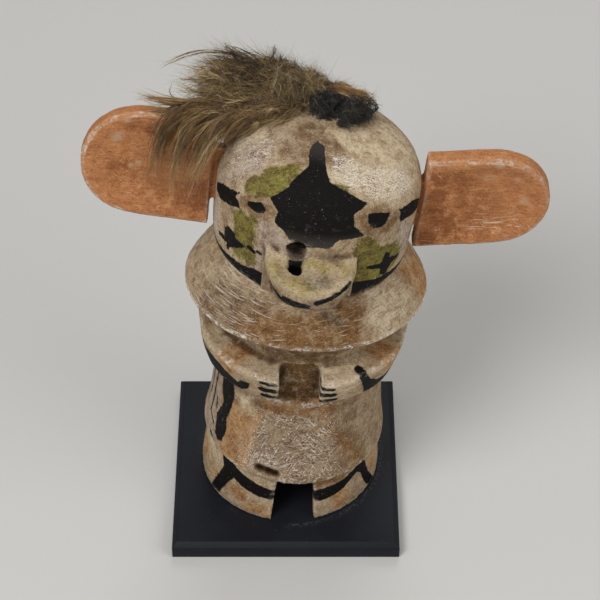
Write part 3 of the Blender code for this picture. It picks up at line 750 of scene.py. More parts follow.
def settle_mouth(surface):
    """Where the vertices go once the mouth narrows downward and its groove sits where it is seen."""
    head = surface.head.copy()
    under = surface.on_mouth * step(surface.reach, MOUTH_STARTS, 1.12)
    low = 1.0 - step(head[:, 2], 6.0, 25.0)
    head[:, 0] = head[:, 0] - (head[:, 0] - MOUTH_MIDDLE_MM) * MOUTH_TAPER * low * under
    beside = np.hypot(head[:, 0] - GROOVE_X_MM, np.maximum(-50.0 - head[:, 1], 0.0))
    near = (1.0 - step(beside, 5.5, 14.0)) * (surface.head[:, 1] < -30.0) * step(head[:, 2], 8.0, 20.0)
    near = near * (1.0 - step(head[:, 2], 32.0, 40.0)) * step(-surface.head[:, 1], 34.0, 40.0)
    head[:, 0] = head[:, 0] + GROOVE_SHIFT_MM[0] * near
    head[:, 1] = head[:, 1] + GROOVE_SHIFT_MM[1] * near * step(-surface.head[:, 1], 44.0, 51.0)
    return out_of(head_frame(), head * MM)


def carve(piece, sizes):
    """Roughens the figure as a knife and long wear leave it."""
    points = vertex_points(piece)
    normals = vertex_normals(piece)
    surface = Surface(points)
    cuts = rough_noise(points * np.array((1.0, 1.0, 0.6)), 0.013, 11) * sizes.knife_depth
    fine = rough_noise(points, 0.0032, 23) * sizes.knife_depth * 0.28
    edge = step(-hollowness(piece, 6), 0.00012, 0.00042)
    chips = step(rough_noise(points, 0.006, 37), 0.22, 0.55) * edge * sizes.chip_depth
    knot = step(surface.knot, -1.6, 1.4) * sizes.knot_depth
    depth = cuts + fine - chips - knot
    on_sole = points[:, 2] < STAND_TOP + 0.0006
    points = settle_mouth(surface)
    set_points(piece, points + normals * np.where(on_sole, 0.0, depth)[:, None])


# Materials

class Finish:
    """The nodes of one material, added from its colours to its surface."""

    def __init__(self, name):
        self.material = bpy.data.materials.new(name)
        self.material.use_nodes = True
        self.tree = self.material.node_tree
        self.surface = self.tree.nodes["Principled BSDF"]
        self.places = self.tree.nodes.new("ShaderNodeTexCoord")

    def join(self, value, socket):
        """Feeds a socket from another socket or from a plain value."""
        if isinstance(value, bpy.types.NodeSocket):
            self.tree.links.new(value, socket)
        elif socket.type == "RGBA" and len(value) == 3:
            socket.default_value = (*value, 1.0)
        else:
            socket.default_value = value

    def attribute(self, name, output="Fac"):
        """A number, or a colour, that the mesh keeps for each vertex."""
        node = self.tree.nodes.new("ShaderNodeAttribute")
        node.attribute_name = name
        return node.outputs[output]

    def noise(self, size, detail=2.0, roughness=0.5, longer=(1.0, 1.0, 1.0), turn=(0.0, 0.0, 0.0), warp=0.0):
        """A random pattern with lumps of that size, drawn out along the axes where longer is above 1."""
        mapping = self.tree.nodes.new("ShaderNodeMapping")
        mapping.vector_type = "TEXTURE"
        self.join(self.places.outputs["Object"], mapping.inputs["Vector"])
        mapping.inputs["Scale"].default_value = longer
        mapping.inputs["Rotation"].default_value = turn
        node = self.tree.nodes.new("ShaderNodeTexNoise")
        self.join(mapping.outputs["Vector"], node.inputs["Vector"])
        node.inputs["Scale"].default_value = 1.0 / size
        node.inputs["Detail"].default_value = detail
        node.inputs["Roughness"].default_value = roughness
        node.inputs["Distortion"].default_value = warp
        return node.outputs["Fac"]

    def strokes(self, width, longer, turns):
        """Fine crossing strokes of that width: the highest of a pattern for each turn."""
        total = 0.0
        for turn in turns:
            total = self.math("MAXIMUM", self.noise(width, 1.0, 0.5, longer=longer, turn=turn), total)
        return total

    def above(self, value, density, rare, common):
        """Where a pattern passes a limit that falls from rare to common as the density goes from 0 to 1."""
        limit = self.math("MULTIPLY_ADD", density, common - rare, rare)
        return self.share(self.math("SUBTRACT", value, limit), -0.015, 0.045)

    def math(self, operation, first, second=0.0, third=0.0):
        """One sum of two or three numbers."""
        node = self.tree.nodes.new("ShaderNodeMath")
        node.operation = operation
        for value, socket in zip((first, second, third), node.inputs):
            self.join(value, socket)
        return node.outputs["Value"]

    def share(self, value, low, high):
        """0 at low, 1 at high, and an easy curve between them."""
        node = self.tree.nodes.new("ShaderNodeMapRange")
        node.interpolation_type = "SMOOTHSTEP"
        self.join(value, node.inputs["Value"])
        self.join(low, node.inputs["From Min"])
        self.join(high, node.inputs["From Max"])
        return node.outputs["Result"]

    def times(self, *values):
        """The product of several numbers."""
        total = values[0]
        for value in values[1:]:
            total = self.math("MULTIPLY", total, value)
        return total

    def mix(self, share, first, second, blend="MIX"):
        """A colour between two colours, or the first one multiplied by the second."""
        node = self.tree.nodes.new("ShaderNodeMix")
        node.data_type = "RGBA"
        node.blend_type = blend
        self.join(share, node.inputs["Factor"])
        self.join(first, node.inputs[6])
        self.join(second, node.inputs[7])
        return node.outputs[2]

    def cover(self, colour, pattern, low, high, share, tone):
        """Lays a share of a tone over a colour, as a pattern goes from low to high."""
        return self.mix(self.times(self.share(pattern, low, high), share), colour, tone)

    def stain(self, colour, pattern, low, high, share, tone):
        """Multiplies a colour by a share of a tone, as a pattern goes from low to high."""
        return self.mix(self.times(self.share(pattern, low, high), share), colour, tone, "MULTIPLY")

    def shifted(self, value, pattern, scale, offset):
        """A value moved up and down by a pattern."""
        return self.math("ADD", value, self.math("MULTIPLY_ADD", pattern, scale, offset))

    def without(self, share):
        """What a share leaves over."""
        return self.math("SUBTRACT", 1.0, share)

    def sum_of(self, *weighted):
        """The sum of several patterns, each times its weight."""
        total = 0.0
        for pattern, weight in weighted:
            total = self.math("MULTIPLY_ADD", pattern, weight, total)
        return total

    def bump(self, height, distance, strength):
        """Raises the surface by a pattern."""
        node = self.tree.nodes.new("ShaderNodeBump")
        node.inputs["Distance"].default_value = distance
        node.inputs["Strength"].default_value = strength
        self.join(height, node.inputs["Height"])
        return node.outputs["Normal"]

    def close(self, colour, roughness, normal=None, **constants):
        """Feeds the surface and returns the finished material."""
        self.join(colour, self.surface.inputs["Base Color"])
        self.join(roughness, self.surface.inputs["Roughness"])
        if normal is not None:
            self.join(normal, self.surface.inputs["Normal"])
        for name, value in constants.items():
            self.surface.inputs[name.replace("_", " ")].default_value = value
        return self.material


STROKE_TURNS = (
    (0.0, 0.30, 0.0), (0.0, -0.45, 0.0), (0.0, 1.00, 0.1), (0.0, -1.15, 0.0), (0.0, 0.10, 0.7),
    (0.0, -0.10, -0.8), (0.0, 1.50, 0.0),
)
ROUND_TURNS = ((0.0, 0.0, 0.0), (0.0, 0.16, 0.0), (0.1, -0.14, 0.0))
EAR_TURNS = ((0.0, 0.05, 0.0), (0.0, -0.16, 0.0), (0.0, 0.9, 0.0))
PAINT_RELIEF = 0.00034
PLATE_RELIEF = 0.00005


def painted_wood(colours):
    """Chalky paints on carved wood, rubbed, scratched and dusty, with painted shade in its hollows."""
    make = Finish("painted_wood")
    chalk = tuple(colours.chalk)
    grain = make.noise(0.0011, 3.0, 0.6, longer=(1.0, 1.0, 7.0))
    blotch = make.noise(0.0050, 5.0, 0.72)
    broad = make.noise(0.0150, 3.0, 0.6)
    fine = make.noise(0.0012, 3.0, 0.75, longer=(1.6, 1.6, 1.0))
    speck = make.noise(0.00055, 1.0, 0.5)
    crossing = make.strokes(0.00062, (11.0, 1.0, 1.0), STROKE_TURNS)
    long_hairs = make.strokes(0.00046, (32.0, 1.0, 1.0), STROKE_TURNS[:5])
    dark_hairs = make.strokes(0.00080, (8.0, 1.0, 1.0), STROKE_TURNS[1:4])
    round_strokes = make.strokes(0.00062, (18.0, 18.0, 1.0), ROUND_TURNS)
    colour = make.attribute("paint", "Color")
    colour = make.stain(colour, blotch, 0.48, 0.64, 0.55, linear(178, 150, 118))
    colour = make.cover(colour, blotch, 0.49, 0.36, 0.28, linear(216, 200, 172))
    colour = make.stain(colour, broad, 0.48, 0.62, 0.30, linear(184, 160, 134))
    colour = make.stain(colour, dark_hairs, 0.60, 0.70, 0.42, linear(146, 120, 94))
    colour = make.stain(colour, fine, 0.50, 0.70, 0.52, linear(156, 130, 104))
    colour = make.stain(colour, grain, 0.55, 0.72, 0.35, linear(150, 120, 92))
    colour = make.cover(colour, speck, 0.62, 0.74, 0.30, chalk)
    green_edge = make.shifted(make.attribute("green"), blotch, 13.0, -6.6)
    green_edge = make.shifted(green_edge, fine, 5.0, -2.5)
    green = make.cover(tuple(colours.green), blotch, 0.42, 0.60, 0.85, linear(84, 68, 38))
    green = make.cover(green, fine, 0.52, 0.68, 0.60, linear(166, 160, 66))
    green = make.stain(green, dark_hairs, 0.58, 0.68, 0.5, linear(140, 122, 100))
    colour = make.cover(colour, green_edge, -1.3, 1.3, 0.90, green)
    brushed = make.attribute("brushed")
    round_strokes = make.math("SUBTRACT", round_strokes, make.math("MULTIPLY_ADD", brushed, -0.17, 0.15))
    long_hairs = make.math("SUBTRACT", long_hairs, make.times(brushed, 0.05))
    hairs = make.math("MAXIMUM", round_strokes, long_hairs)
    scuff = make.above(hairs, make.attribute("scuff"), 0.82, 0.600)
    scuff = make.times(scuff, make.share(blotch, 0.36, 0.54), make.math("MULTIPLY_ADD", brushed, -0.26, 0.82))
    colour = make.mix(scuff, colour, chalk)
    black_edge = make.shifted(make.attribute("black"), fine, 1.8, -0.9)
    black_edge = make.shifted(black_edge, blotch, 1.6, -0.8)
    worn_off = make.times(make.share(speck, 0.68, 0.74), make.share(blotch, 0.50, 0.62), 0.9)
    cracked = make.times(make.share(grain, 0.64, 0.70), make.attribute("cracked"), 0.75)
    kept = make.without(make.math("MAXIMUM", worn_off, cracked))
    black_share = make.times(make.share(black_edge, -0.25, 0.35), kept)
    faded = make.times(make.share(fine, 0.48, 0.70), 0.08)
    faded = make.math("MAXIMUM", faded, make.attribute("faded"))
    black = make.mix(faded, tuple(colours.black), tuple(colours.slate))
    colour = make.mix(make.times(black_share, 0.992), colour, black)
    fleck = make.above(crossing, make.attribute("fleck"), 0.86, 0.615)
    fleck = make.times(fleck, make.share(blotch, 0.30, 0.50), 0.85, make.without(black_share))
    colour = make.mix(fleck, colour, chalk)
    edge = make.times(make.share(blotch, 0.42, 0.60), make.share(fine, 0.38, 0.58), 0.75)
    edge = make.times(edge, make.attribute("edge"), make.without(make.times(black_share, 0.6)))
    colour = make.mix(edge, colour, chalk)
    # Painted shade: the colour is darkened where the mesh lies in a hollow.
    colour = make.mix(make.times(make.attribute("hollow_shade"), 0.85), colour, linear(104, 82, 60), "MULTIPLY")
    height = make.sum_of((grain, 0.4), (fine, 0.5), (blotch, 0.5), (fleck, 0.35), (dark_hairs, -0.35))
    roughness = make.math("MULTIPLY_ADD", black_share, -0.16, 0.88)
    return make.close(colour, roughness, make.bump(height, PAINT_RELIEF, 0.9), Specular_IOR_Level=0.10)


def orange_paint(colours):
    """Orange paint on a thin plank, with a pale rubbed rim, grey scuffs, dark mottling and painted shade, and
    painted light on its upward faces.
    """
    make = Finish("orange_paint")
    ear_mottle_and_shade = tuple(colours.ear_mottle_and_shade)
    chalk = tuple(colours.chalk)
    blotch = make.noise(0.0060, 5.0, 0.72)
    streaks = make.noise(0.0015, 4.0, 0.7, longer=(5.0, 1.0, 1.0), turn=(0.0, 0.15, 0.0), warp=0.5)
    fine = make.noise(0.0010, 3.0, 0.75)
    hairs = make.strokes(0.0006, (20.0, 1.0, 1.0), EAR_TURNS)
    shade = make.shifted(make.attribute("shade"), blotch, 1.6, -0.8)
    shade = make.shifted(shade, fine, 1.2, -0.6)
    # Painted shade: the orange darkens where the shade is above 0.
    colour = make.cover(tuple(colours.orange), shade, 0.0, 0.9, 0.80, ear_mottle_and_shade)
    # Painted light: upward faces, where the shade is below 0, turn a paler orange.
    colour = make.mix(make.share(shade, -0.3, -1.0), colour, linear(206, 148, 102))
    colour = make.cover(colour, streaks, 0.50, 0.68, 0.45, ear_mottle_and_shade)
    colour = make.cover(colour, blotch, 0.50, 0.36, 0.30, linear(214, 160, 112))
    colour = make.stain(colour, fine, 0.52, 0.70, 0.5, linear(150, 112, 84))
    colour = make.stain(colour, hairs, 0.62, 0.50, 0.3, linear(170, 134, 108))
    scratch = make.above(hairs, make.attribute("scratched"), 0.78, 0.60)
    colour = make.mix(make.times(scratch, 0.42), colour, chalk)
    scuff = make.shifted(make.attribute("scuff"), fine, 2.2, -1.1)
    scuff = make.shifted(scuff, blotch, 1.4, -0.7)
    colour = make.cover(colour, scuff, 0.35, 0.95, 0.55, linear(186, 164, 138))
    edge = make.times(make.share(blotch, 0.38, 0.60), make.share(fine, 0.36, 0.56), 0.75)
    colour = make.mix(make.times(edge, make.attribute("edge")), colour, chalk)
    # Painted shade: the orange is darkened where the ear lies in a hollow.
    colour = make.mix(make.times(make.attribute("hollow_shade"), 0.6), colour, linear(120, 90, 66), "MULTIPLY")
    height = make.sum_of((streaks, 0.5), (fine, 0.4), (blotch, 0.6))
    return make.close(colour, 0.8, make.bump(height, PAINT_RELIEF, 0.9), Specular_IOR_Level=0.2)


def feather_finish(name, dark, middle, pale, warm):
    """Barbs that run from a dark colour to a pale one, some of them warm, with a soft gloss."""
    make = Finish(name)
    tone = make.shifted(make.attribute("tone"), make.noise(0.004, 2.0), 0.5, -0.25)
    colour = make.mix(make.share(tone, 0.0, 0.5), tuple(dark), tuple(middle))
    colour = make.mix(make.share(tone, 0.5, 1.0), colour, tuple(pale))
    colour = make.mix(make.attribute("warm"), colour, tuple(warm))
    return make.close(colour, 0.60, Sheen_Weight=0.15, Sheen_Roughness=0.4, Specular_IOR_Level=0.3)


def black_plate(colours):
    """Matt black paint with fine scratches, dust and a pale ring round the feet."""
    make = Finish("black_plate")
    broad = make.noise(0.03, 3.0, 0.6)
    dust = make.noise(0.0016, 2.0, 0.6)
    speck = make.noise(0.0008, 1.0, 0.4)
    scratch = make.noise(0.0006, 2.0, 0.6, longer=(16.0, 1.0, 1.0), turn=(0.0, 0.0, 0.5))
    colour = make.cover(tuple(colours.plate), broad, 0.4, 0.7, 0.25, linear(38, 41, 49))
    colour = make.cover(colour, speck, 0.77, 0.82, 0.5, linear(140, 138, 132))
    colour = make.cover(colour, scratch, 0.70, 0.80, 0.2, linear(82, 86, 94))
    foot_distance = make.tree.nodes.new("ShaderNodeVectorMath")
    foot_distance.operation = "DISTANCE"
    make.join(make.places.outputs["Object"], foot_distance.inputs[0])
    foot_distance.inputs[1].default_value = (*FIGURE_OFFSET, STAND_TOP)
    offset = make.math("SUBTRACT", foot_distance.outputs["Value"], FOOT_RADIUS)
    ring = make.math("MULTIPLY", make.share(offset, 0.0, 0.0006), make.share(offset, 0.0042, 0.0006))
    ring = make.times(ring, make.share(dust, 0.42, 0.70), make.share(broad, 0.42, 0.62), 0.24)
    colour = make.mix(ring, colour, linear(122, 118, 112))
    roughness = make.math("MULTIPLY_ADD", broad, 0.22, 0.46)
    height = make.sum_of((dust, 0.5), (scratch, -0.4))
    return make.close(colour, roughness, make.bump(height, PLATE_RELIEF, 0.7), Specular_IOR_Level=0.22)


def studio_floor(colours):
    """The plain pale floor."""
    make = Finish("studio_floor")
    return make.close(tuple(colours.floor), 0.8, Specular_IOR_Level=0.2)


# Feathers

STRAND_RINGS = 5
# Tufts in the head's frame, in millimetres: root, middle, tip, spread, strands, tone and fade to the tip.
PLUME_BACK = [
    ((-8, 30, 64), (-34, 36, 69), (-58, 40, 78), 2.6, 180, 0.04, 0.5),
    ((-8, 30, 64), (-38, 34, 68), (-66, 36, 68), 3.0, 320, -0.05, 0.3),
    ((-6, 30, 62), (-36, 32, 63), (-64, 30, 64), 4.0, 500, -0.10, 0.3),
    ((-10, 30, 65), (-30, 36, 69), (-48, 40, 71), 3.2, 320, 0.05, 0.5),
    ((-24, 28, 65), (-27, 30, 70), (-25, 32, 74), 3.2, 700, 0.10, 0.5),
    ((-13, 28, 64), (-17, 30, 68), (-19, 31, 72), 2.8, 600, 0.20, 0.5),
    ((-4, 30, 64), (-20, 31, 70), (-36, 30, 72), 3.6, 700, 0.14, 0.4),
    ((-16, 30, 65), (-34, 31, 69), (-56, 30, 70), 3.8, 700, 0.10, 0.4),
    ((-9, 31, 66), (-7, 27, 71), (-8, 19, 69), 3.0, 500, 0.42, 0.4),
    ((-27, 33, 70), (-57, 33, 76), (-82, 30, 60), 0.7, 60, 0.50, 0.3),
    ((2, 30, 57), (0, 31, 63), (-7, 31, 68), 2.6, 500, 0.10, 0.4),
    ((3, 32, 57), (-2, 35, 62), (-10, 38, 64), 2.6, 300, 0.16, 0.4),
]
PLUME_FRONT = [
    ((-34, 20, 64), (-50, 22, 69), (-67, 20, 70), 3.6, 700, 0.50, 0.4),
    ((-34, 18, 63), (-50, 17, 66), (-67, 13, 63), 3.8, 700, 0.40, 0.4),
    ((-30, 24, 66), (-44, 27, 71), (-60, 26, 74), 3.0, 400, 0.38, 0.5),
    ((-10, 30, 67), (-6, 24, 70), (-7, 12, 62), 2.8, 560, 0.44, 0.3),
    ((-14, 29, 67), (-14, 23, 72), (-15, 10, 62), 3.0, 560, 0.36, 0.4),
    ((-20, 30, 68), (-23, 24, 73), (-25, 12, 63), 3.2, 560, 0.46, 0.4),
    ((-6, 28, 64), (-14, 20, 67), (-28, 15, 61), 3.0, 440, 0.34, 0.5),
    ((-8, 26, 63), (-32, 18, 65), (-58, 12, 63), 3.6, 700, 0.28, 0.5),
    ((-6, 24, 62), (-22, 12, 64), (-42, 5, 59), 3.2, 560, 0.34, 0.4),
    ((-19, 22, 70), (-26, 16, 68), (-16, 12, 65), 0.5, 40, 0.95, 0.3),
    ((-68, 9, 68), (-71, 8, 73), (-70, 8, 80), 0.3, 12, 0.45, 0.2),
]
PLUME_SHOULDER = [
    ((-8, 22, 61), (-32, 11, 61), (-56, 0, 60), 3.2, 800, 0.34, 0.4),
    ((-8, 22, 61), (-28, 8, 62), (-50, -3, 56), 3.0, 500, 0.40, 0.4),
    ((-6, 20, 62), (-16, 8, 65), (-28, -2, 60), 2.4, 240, 0.44, 0.4),
    ((-12, 18, 63), (-36, 3, 63), (-48, -8, 51), 2.6, 420, 0.36, 0.2),
    ((-24, 14, 63), (-42, 0, 63), (-52, -9, 50), 2.4, 300, 0.44, 0.2),
    ((-30, 12, 62), (-46, 2, 62), (-62, -6, 58), 3.0, 340, 0.42, 0.3),
    ((-30, 16, 62), (-50, 8, 64), (-69, 2, 61), 3.2, 380, 0.34, 0.4),
]
PLUME_HANGING = [
    ((-44, 8, 63), (-67, -2, 65), (-75, -15, 37), 3.0, 300, 0.34, -0.4),
    ((-42, 8, 62), (-61, -5, 65), (-66, -16, 34), 3.2, 330, 0.50, 0.0),
    ((-40, 6, 61), (-52, -7, 62), (-57, -17, 36), 3.0, 300, 0.54, 0.1),
    ((-36, 14, 64), (-62, 7, 67), (-84, 6, 71), 1.8, 260, 0.42, 0.4),
    ((-36, 14, 63), (-60, 5, 64), (-80, 3, 64), 2.2, 280, 0.38, 0.4),
]
WARMTH = {"amber_hair": 0.38, "plume_hanging_feathers": 0.10}
AMBER_HAIR = [
    ((0, 31, 58), (7, 29, 65), (18, 24, 63), 2.2, 480, 0.25, 0.5),
    ((-2, 31, 60), (4, 28, 66), (12, 24, 67), 2.0, 300, 0.16, 0.4),
    ((4, 31, 59), (14, 27, 65), (24, 22, 63), 1.8, 300, 0.30, 0.4),
    ((-2, 29, 62), (9, 25, 66), (19, 19, 65), 1.8, 260, 0.50, 0.4),
    ((0, 28, 63), (10, 23, 68), (21, 18, 65), 0.4, 30, 1.1, 0.2),
    ((2, 27, 64), (8, 21, 69), (14, 16, 68), 0.4, 24, 1.1, 0.2),
]
DARK_CURLS = [
    (-3, 20), (-4, 15), (-3, 11), (-1, 17), (0, 13), (3, 15), (4, 10), (5, 6), (7, 16), (7, 12), (8, 8),
    (8, 5), (10, 15), (11, 11), (12, 7), (13, 16), (14, 11), (16, 14), (17, 17), (18, 12),
]
LOCK_HAIRS = 30
FINE_LOCK = 12
FLUFF_SHARE = 90
WOOLLY = 1.5
# The plume's pieces: name, tufts with their looseness and lock size, seed and the node each stands for.
PLUME_GROUPS = (
    ("plume_upper_feathers", ((PLUME_BACK, 1.6, LOCK_HAIRS),), 101, "feather_plume"),
    ("plume_lower_feathers", ((PLUME_FRONT, 1.8, LOCK_HAIRS),), 211, None),
    ("plume_hanging_feathers",
     ((PLUME_SHOULDER, 1.6, LOCK_HAIRS), (PLUME_HANGING, 0.9, FINE_LOCK)), 263, None),
    ("amber_hair", ((AMBER_HAIR, 1.3, LOCK_HAIRS),), 271, None),
)
DARK_SOCKET_TUFT = ((13.5, 23, 56), (13.5, 23, 62), (13, 19, 67), 2.6, 320, 0.12, 0.5)
DARK_CURL = (2.6, 160, 0.15, 0.6)
DARK_BARB = 1.6
DARK_LOOSE = 1.3


def strand_pattern():
    """One tapering three-sided strand, modelled from a cone: its rings' corners and its faces."""
    deselect_all()
    bpy.ops.mesh.primitive_cone_add(vertices=3, radius1=1.0, radius2=0.0, depth=1.0, location=(0.0, 0.0, 0.5))
    cone = bpy.context.active_object
    bpy.ops.object.mode_set(mode="EDIT")
    for ring in range(1, STRAND_RINGS):
        bpy.ops.mesh.select_all(action="SELECT")
        bpy.ops.mesh.bisect(plane_co=(0.0, 0.0, ring / STRAND_RINGS), plane_no=(0.0, 0.0, 1.0))
    bpy.ops.object.mode_set(mode="OBJECT")
    corners = vertex_points(cone) + np.array((0.0, 0.0, 0.5))
    faces = [list(face.vertices) for face in cone.data.polygons]
    bpy.data.objects.remove(cone)
    return corners, faces


class Strands:
    """Many thin strands, each along its own curve, with a wave across it and a hook at its tip."""

    def __init__(self, seed):
        self.random = np.random.default_rng(seed)
        self.rows = []

    def add(self, start, middle, end, hook, width, wave, tone, fade):
        """Adds strands through three rows of points, with a hook at the tip."""
        count = len(start)
        control = 2.0 * middle - (start + end) / 2.0
        columns = [start, 2.0 * (control - start), start - 2.0 * control + end, hook]
        for value in (width, wave, tone, fade):
            columns.append(np.broadcast_to(np.asarray(value, float), (count,)).reshape(count, 1))
        columns.append(self.random.uniform(0.0, 2.0 * math.pi, (count, 1)))
        self.rows.append(np.hstack(columns))

    def add_tuft(self, root, middle, tip, spread, count, tone, fade, width, loose=1.0, lock_hairs=LOCK_HAIRS):
        """A tuft of locks, each lock a bundle of strands that leaves the tuft's own curve step by step."""
        random = self.random
        locks = max(count // lock_hairs, 1)
        hairs = count // locks
        ends = [np.array(point) * MM for point in (root, middle, tip)]
        parts = (0.5, 0.75, 1.0)
        far = [at + random.normal(0.0, spread * MM * part, (locks, 3)) for at, part in zip(ends, parts)]
        start, middle, end = (np.repeat(rows, hairs, axis=0) for rows in far)
        total = len(start)
        control = 2.0 * middle - (start + end) / 2.0
        low = random.uniform(0.0, 0.70, total) ** 1.2
        high = np.minimum(low + random.uniform(0.28, 0.62, total) / loose, 1.06)
        places = []
        for share, part in ((low, 0.16), ((low + high) / 2.0, 0.36), (high, 0.95)):
            s = share[:, None]
            along = start * (1.0 - s) ** 2 + control * 2.0 * s * (1.0 - s) + end * s ** 2
            places.append(along + random.normal(0.0, 1.0, (total, 3)) * spread * MM * part * 0.62 * loose)
        shade = tone + np.repeat(random.normal(0.0, 0.22, locks), hairs) + random.normal(0.0, 0.14, total)
        shade = shade + fade * ((low + high) / 2.0 - 0.4)
        hook = random.normal(0.0, 1.0, (total, 3))
        hook = hook + np.repeat(random.normal(0.0, 1.2, (locks, 3)), hairs, axis=0)
        width = width * random.uniform(0.6, 1.2, total)
        self.add(*places, hook * spread * MM * 0.5 * loose, width, 0.0006 * loose, shade, 0.3)

    def add_fluff(self, root, middle, tip, spread, count, tone, width):
        """Small unruly tufts that leave a tuft on all sides."""
        random = self.random
        ends = [np.array(point, float) for point in (root, middle, tip)]
        for s in random.uniform(0.1, 0.75, count):
            at = ends[0] * (1.0 - s) ** 2 + ends[1] * 2.0 * s * (1.0 - s) + ends[2] * s ** 2
            at = at + random.normal(0.0, spread * 0.7, 3)
            heading = (ends[2] - ends[0]) / np.linalg.norm(ends[2] - ends[0]) + random.normal(0.0, 0.55, 3)
            length = random.uniform(5.0, 9.0)
            bend = random.normal(0.0, 2.2, 3)
            stop = at + heading * length
            between = (at + stop) / 2.0 + bend
            self.add_tuft(at, between, stop, 2.6, 26, tone + random.normal(0.0, 0.16), 0.5, width * 0.85, 1.1)

    def build(self, name, place):
        """One mesh of all the strands, in the row frame."""
        corners, faces = strand_pattern()
        rows = np.vstack(self.rows)
        count = len(rows)
        start, lead, curl, hook = rows[:, 0:3], rows[:, 3:6], rows[:, 6:9], rows[:, 9:12]
        width, wave, tone, fade, phase = rows[:, 12:17].T
        t = corners[:, 2]
        direction = lead / np.linalg.norm(lead, axis=1, keepdims=True)
        upright = np.abs(direction[:, 2:3]) > 0.8
        helper = np.where(upright, np.array([[1.0, 0.0, 0.0]]), np.array([[0.0, 0.0, 1.0]]))
        side = np.cross(direction, helper)
        side = side / np.linalg.norm(side, axis=1, keepdims=True)
        rise = np.cross(side, direction)
        middle = np.repeat(start[:, None, :], len(t), axis=1)
        for part, power in ((lead, 1), (curl, 2), (hook, 4)):
            middle = middle + part[:, None, :] * (t ** power)[None, :, None]
        sway = wave[:, None] * np.sin(phase[:, None] + 7.0 * t[None, :]) * t[None, :]
        middle = middle + sway[:, :, None] * side[:, None, :]
        spread = corners[None, :, 0:1] * side[:, None, :] + corners[None, :, 1:2] * rise[:, None, :]
        points = (middle + spread * width[:, None, None]).reshape(-1, 3)
        mesh = bpy.data.meshes.new(name)
        loops = np.concatenate([np.array(face) for face in faces])
        sizes = np.array([len(face) for face in faces])
        all_loops = (loops[None, :] + (np.arange(count) * len(corners))[:, None]).ravel()
        all_sizes = np.tile(sizes, count)
        starts = np.concatenate([[0], np.cumsum(all_sizes)[:-1]])
        mesh.vertices.add(len(points))
        mesh.vertices.foreach_set("co", out_of(place, points).astype(np.float32).ravel())
        mesh.loops.add(len(all_loops))
        mesh.loops.foreach_set("vertex_index", all_loops.astype(np.int32))
        mesh.polygons.add(len(all_sizes))
        mesh.polygons.foreach_set("loop_start", starts.astype(np.int32))
        mesh.polygons.foreach_set("use_smooth", np.ones(len(all_sizes), bool))
        mesh.update(calc_edges=True)
        mesh.validate()
        piece = bpy.data.objects.new(name, mesh)
        bpy.context.scene.collection.objects.link(piece)
        shade = tone[:, None] + fade[:, None] * (t[None, :] - 0.4)
        set_attribute(piece, "tone", shade.ravel())
        return piece


def keep_above_crown(piece, clearance):
    """Lifts what dips into the head onto its surface."""
    points = into(head_frame(), vertex_points(piece))
    reach = np.hypot(points[:, 0] / HEAD_HALF_WIDTH, points[:, 1] / HEAD_HALF_DEPTH)
    floor = crown_height(points[:, 0], points[:, 1]) + clearance
    low = (points[:, 2] < floor) & (reach < 0.97)
    points[:, 2] = np.where(low, floor, points[:, 2])
    set_points(piece, out_of(head_frame(), points))


def keep_before_ear(piece, node, clearance):
    """Brings what dips into an ear before its front, or over its top edge."""
    points = into(ear_frame(node), vertex_points(piece))
    front = EAR_THICKNESS / 2.0 + clearance
    top = EAR_HEIGHT / 2.0 + clearance
    buried = np.all(np.abs(points) < (EAR_LENGTH, front, top), axis=1)
    high = buried & (top - points[:, 2] < front + points[:, 1])
    points[:, 2] = np.where(high, top, points[:, 2])
    points[:, 1] = np.where(buried & ~high, -front, points[:, 1])
    set_points(piece, out_of(ear_frame(node), points))


# Operators

class DOLL_OT_carved_doll(bpy.types.Operator):
    """Models the carved and painted figure"""

    bl_idname = "doll.carved_doll"
    bl_label = "Carved doll"

    def execute(self, context):
        sizes = context.scene.doll_sizes
        piece = merged_copy("doll", "carved_doll")
        regrid(piece, sizes.wood_grid)
        before = vertex_points(piece)
        carve(piece, sizes)
        surface = Surface(before)
        hollow = hollowness(piece, 8)
        set_attribute(piece, "black", black_paint(surface))
        set_attribute(piece, "green", green_paint(surface))
        set_attribute(piece, "scuff", scuff_density(surface))
        set_colour(piece, "paint", base_colours(surface, context.scene.doll_colours))
        set_attribute(piece, "fleck", fleck_density(surface))
        set_attribute(piece, "brushed", step(surface.height, 108.0, 110.0) * ~surface.on_head)
        set_attribute(piece, "cracked", surface.on_kilt)
        low_fade = 0.8 * (1.0 - step(surface.up, 33.0, 44.0)) * step(surface.up, 27.0, 31.0)
        faded = np.maximum(low_fade, 0.45 * step(surface.up, 84.0, 98.0))
        set_attribute(piece, "faded", faded * (np.abs(surface.across + 4.0) < 24.0) * surface.on_face)
        ridge = 1.0 - step(np.abs(surface.height - RIDGE_MM), 0.5, 1.8)
        worn = ridge * ~surface.on_head * (1.1 + 1.4 * step(np.abs(surface.angle + 4.0), 14.0, 30.0))
        sharp = step(-hollow, 0.00012, 0.00045) * np.where(surface.on_mouth, 0.45, 1.0)
        set_attribute(piece, "edge", np.maximum(sharp, worn))
        # Painted shade in the figure's hollows and creases, with less of it on part of the band under the
        # mantle.
        less_shade = step(surface.angle, 18.0, 40.0) * (np.abs(surface.height - 118.0) < 12.0) * ~surface.on_head
        set_attribute(piece, "hollow_shade", step(hollow, 0.00010, 0.00055) * (1.0 - 0.75 * less_shade))
        settle(piece, painted_wood(context.scene.doll_colours), "doll")
        return {"FINISHED"}


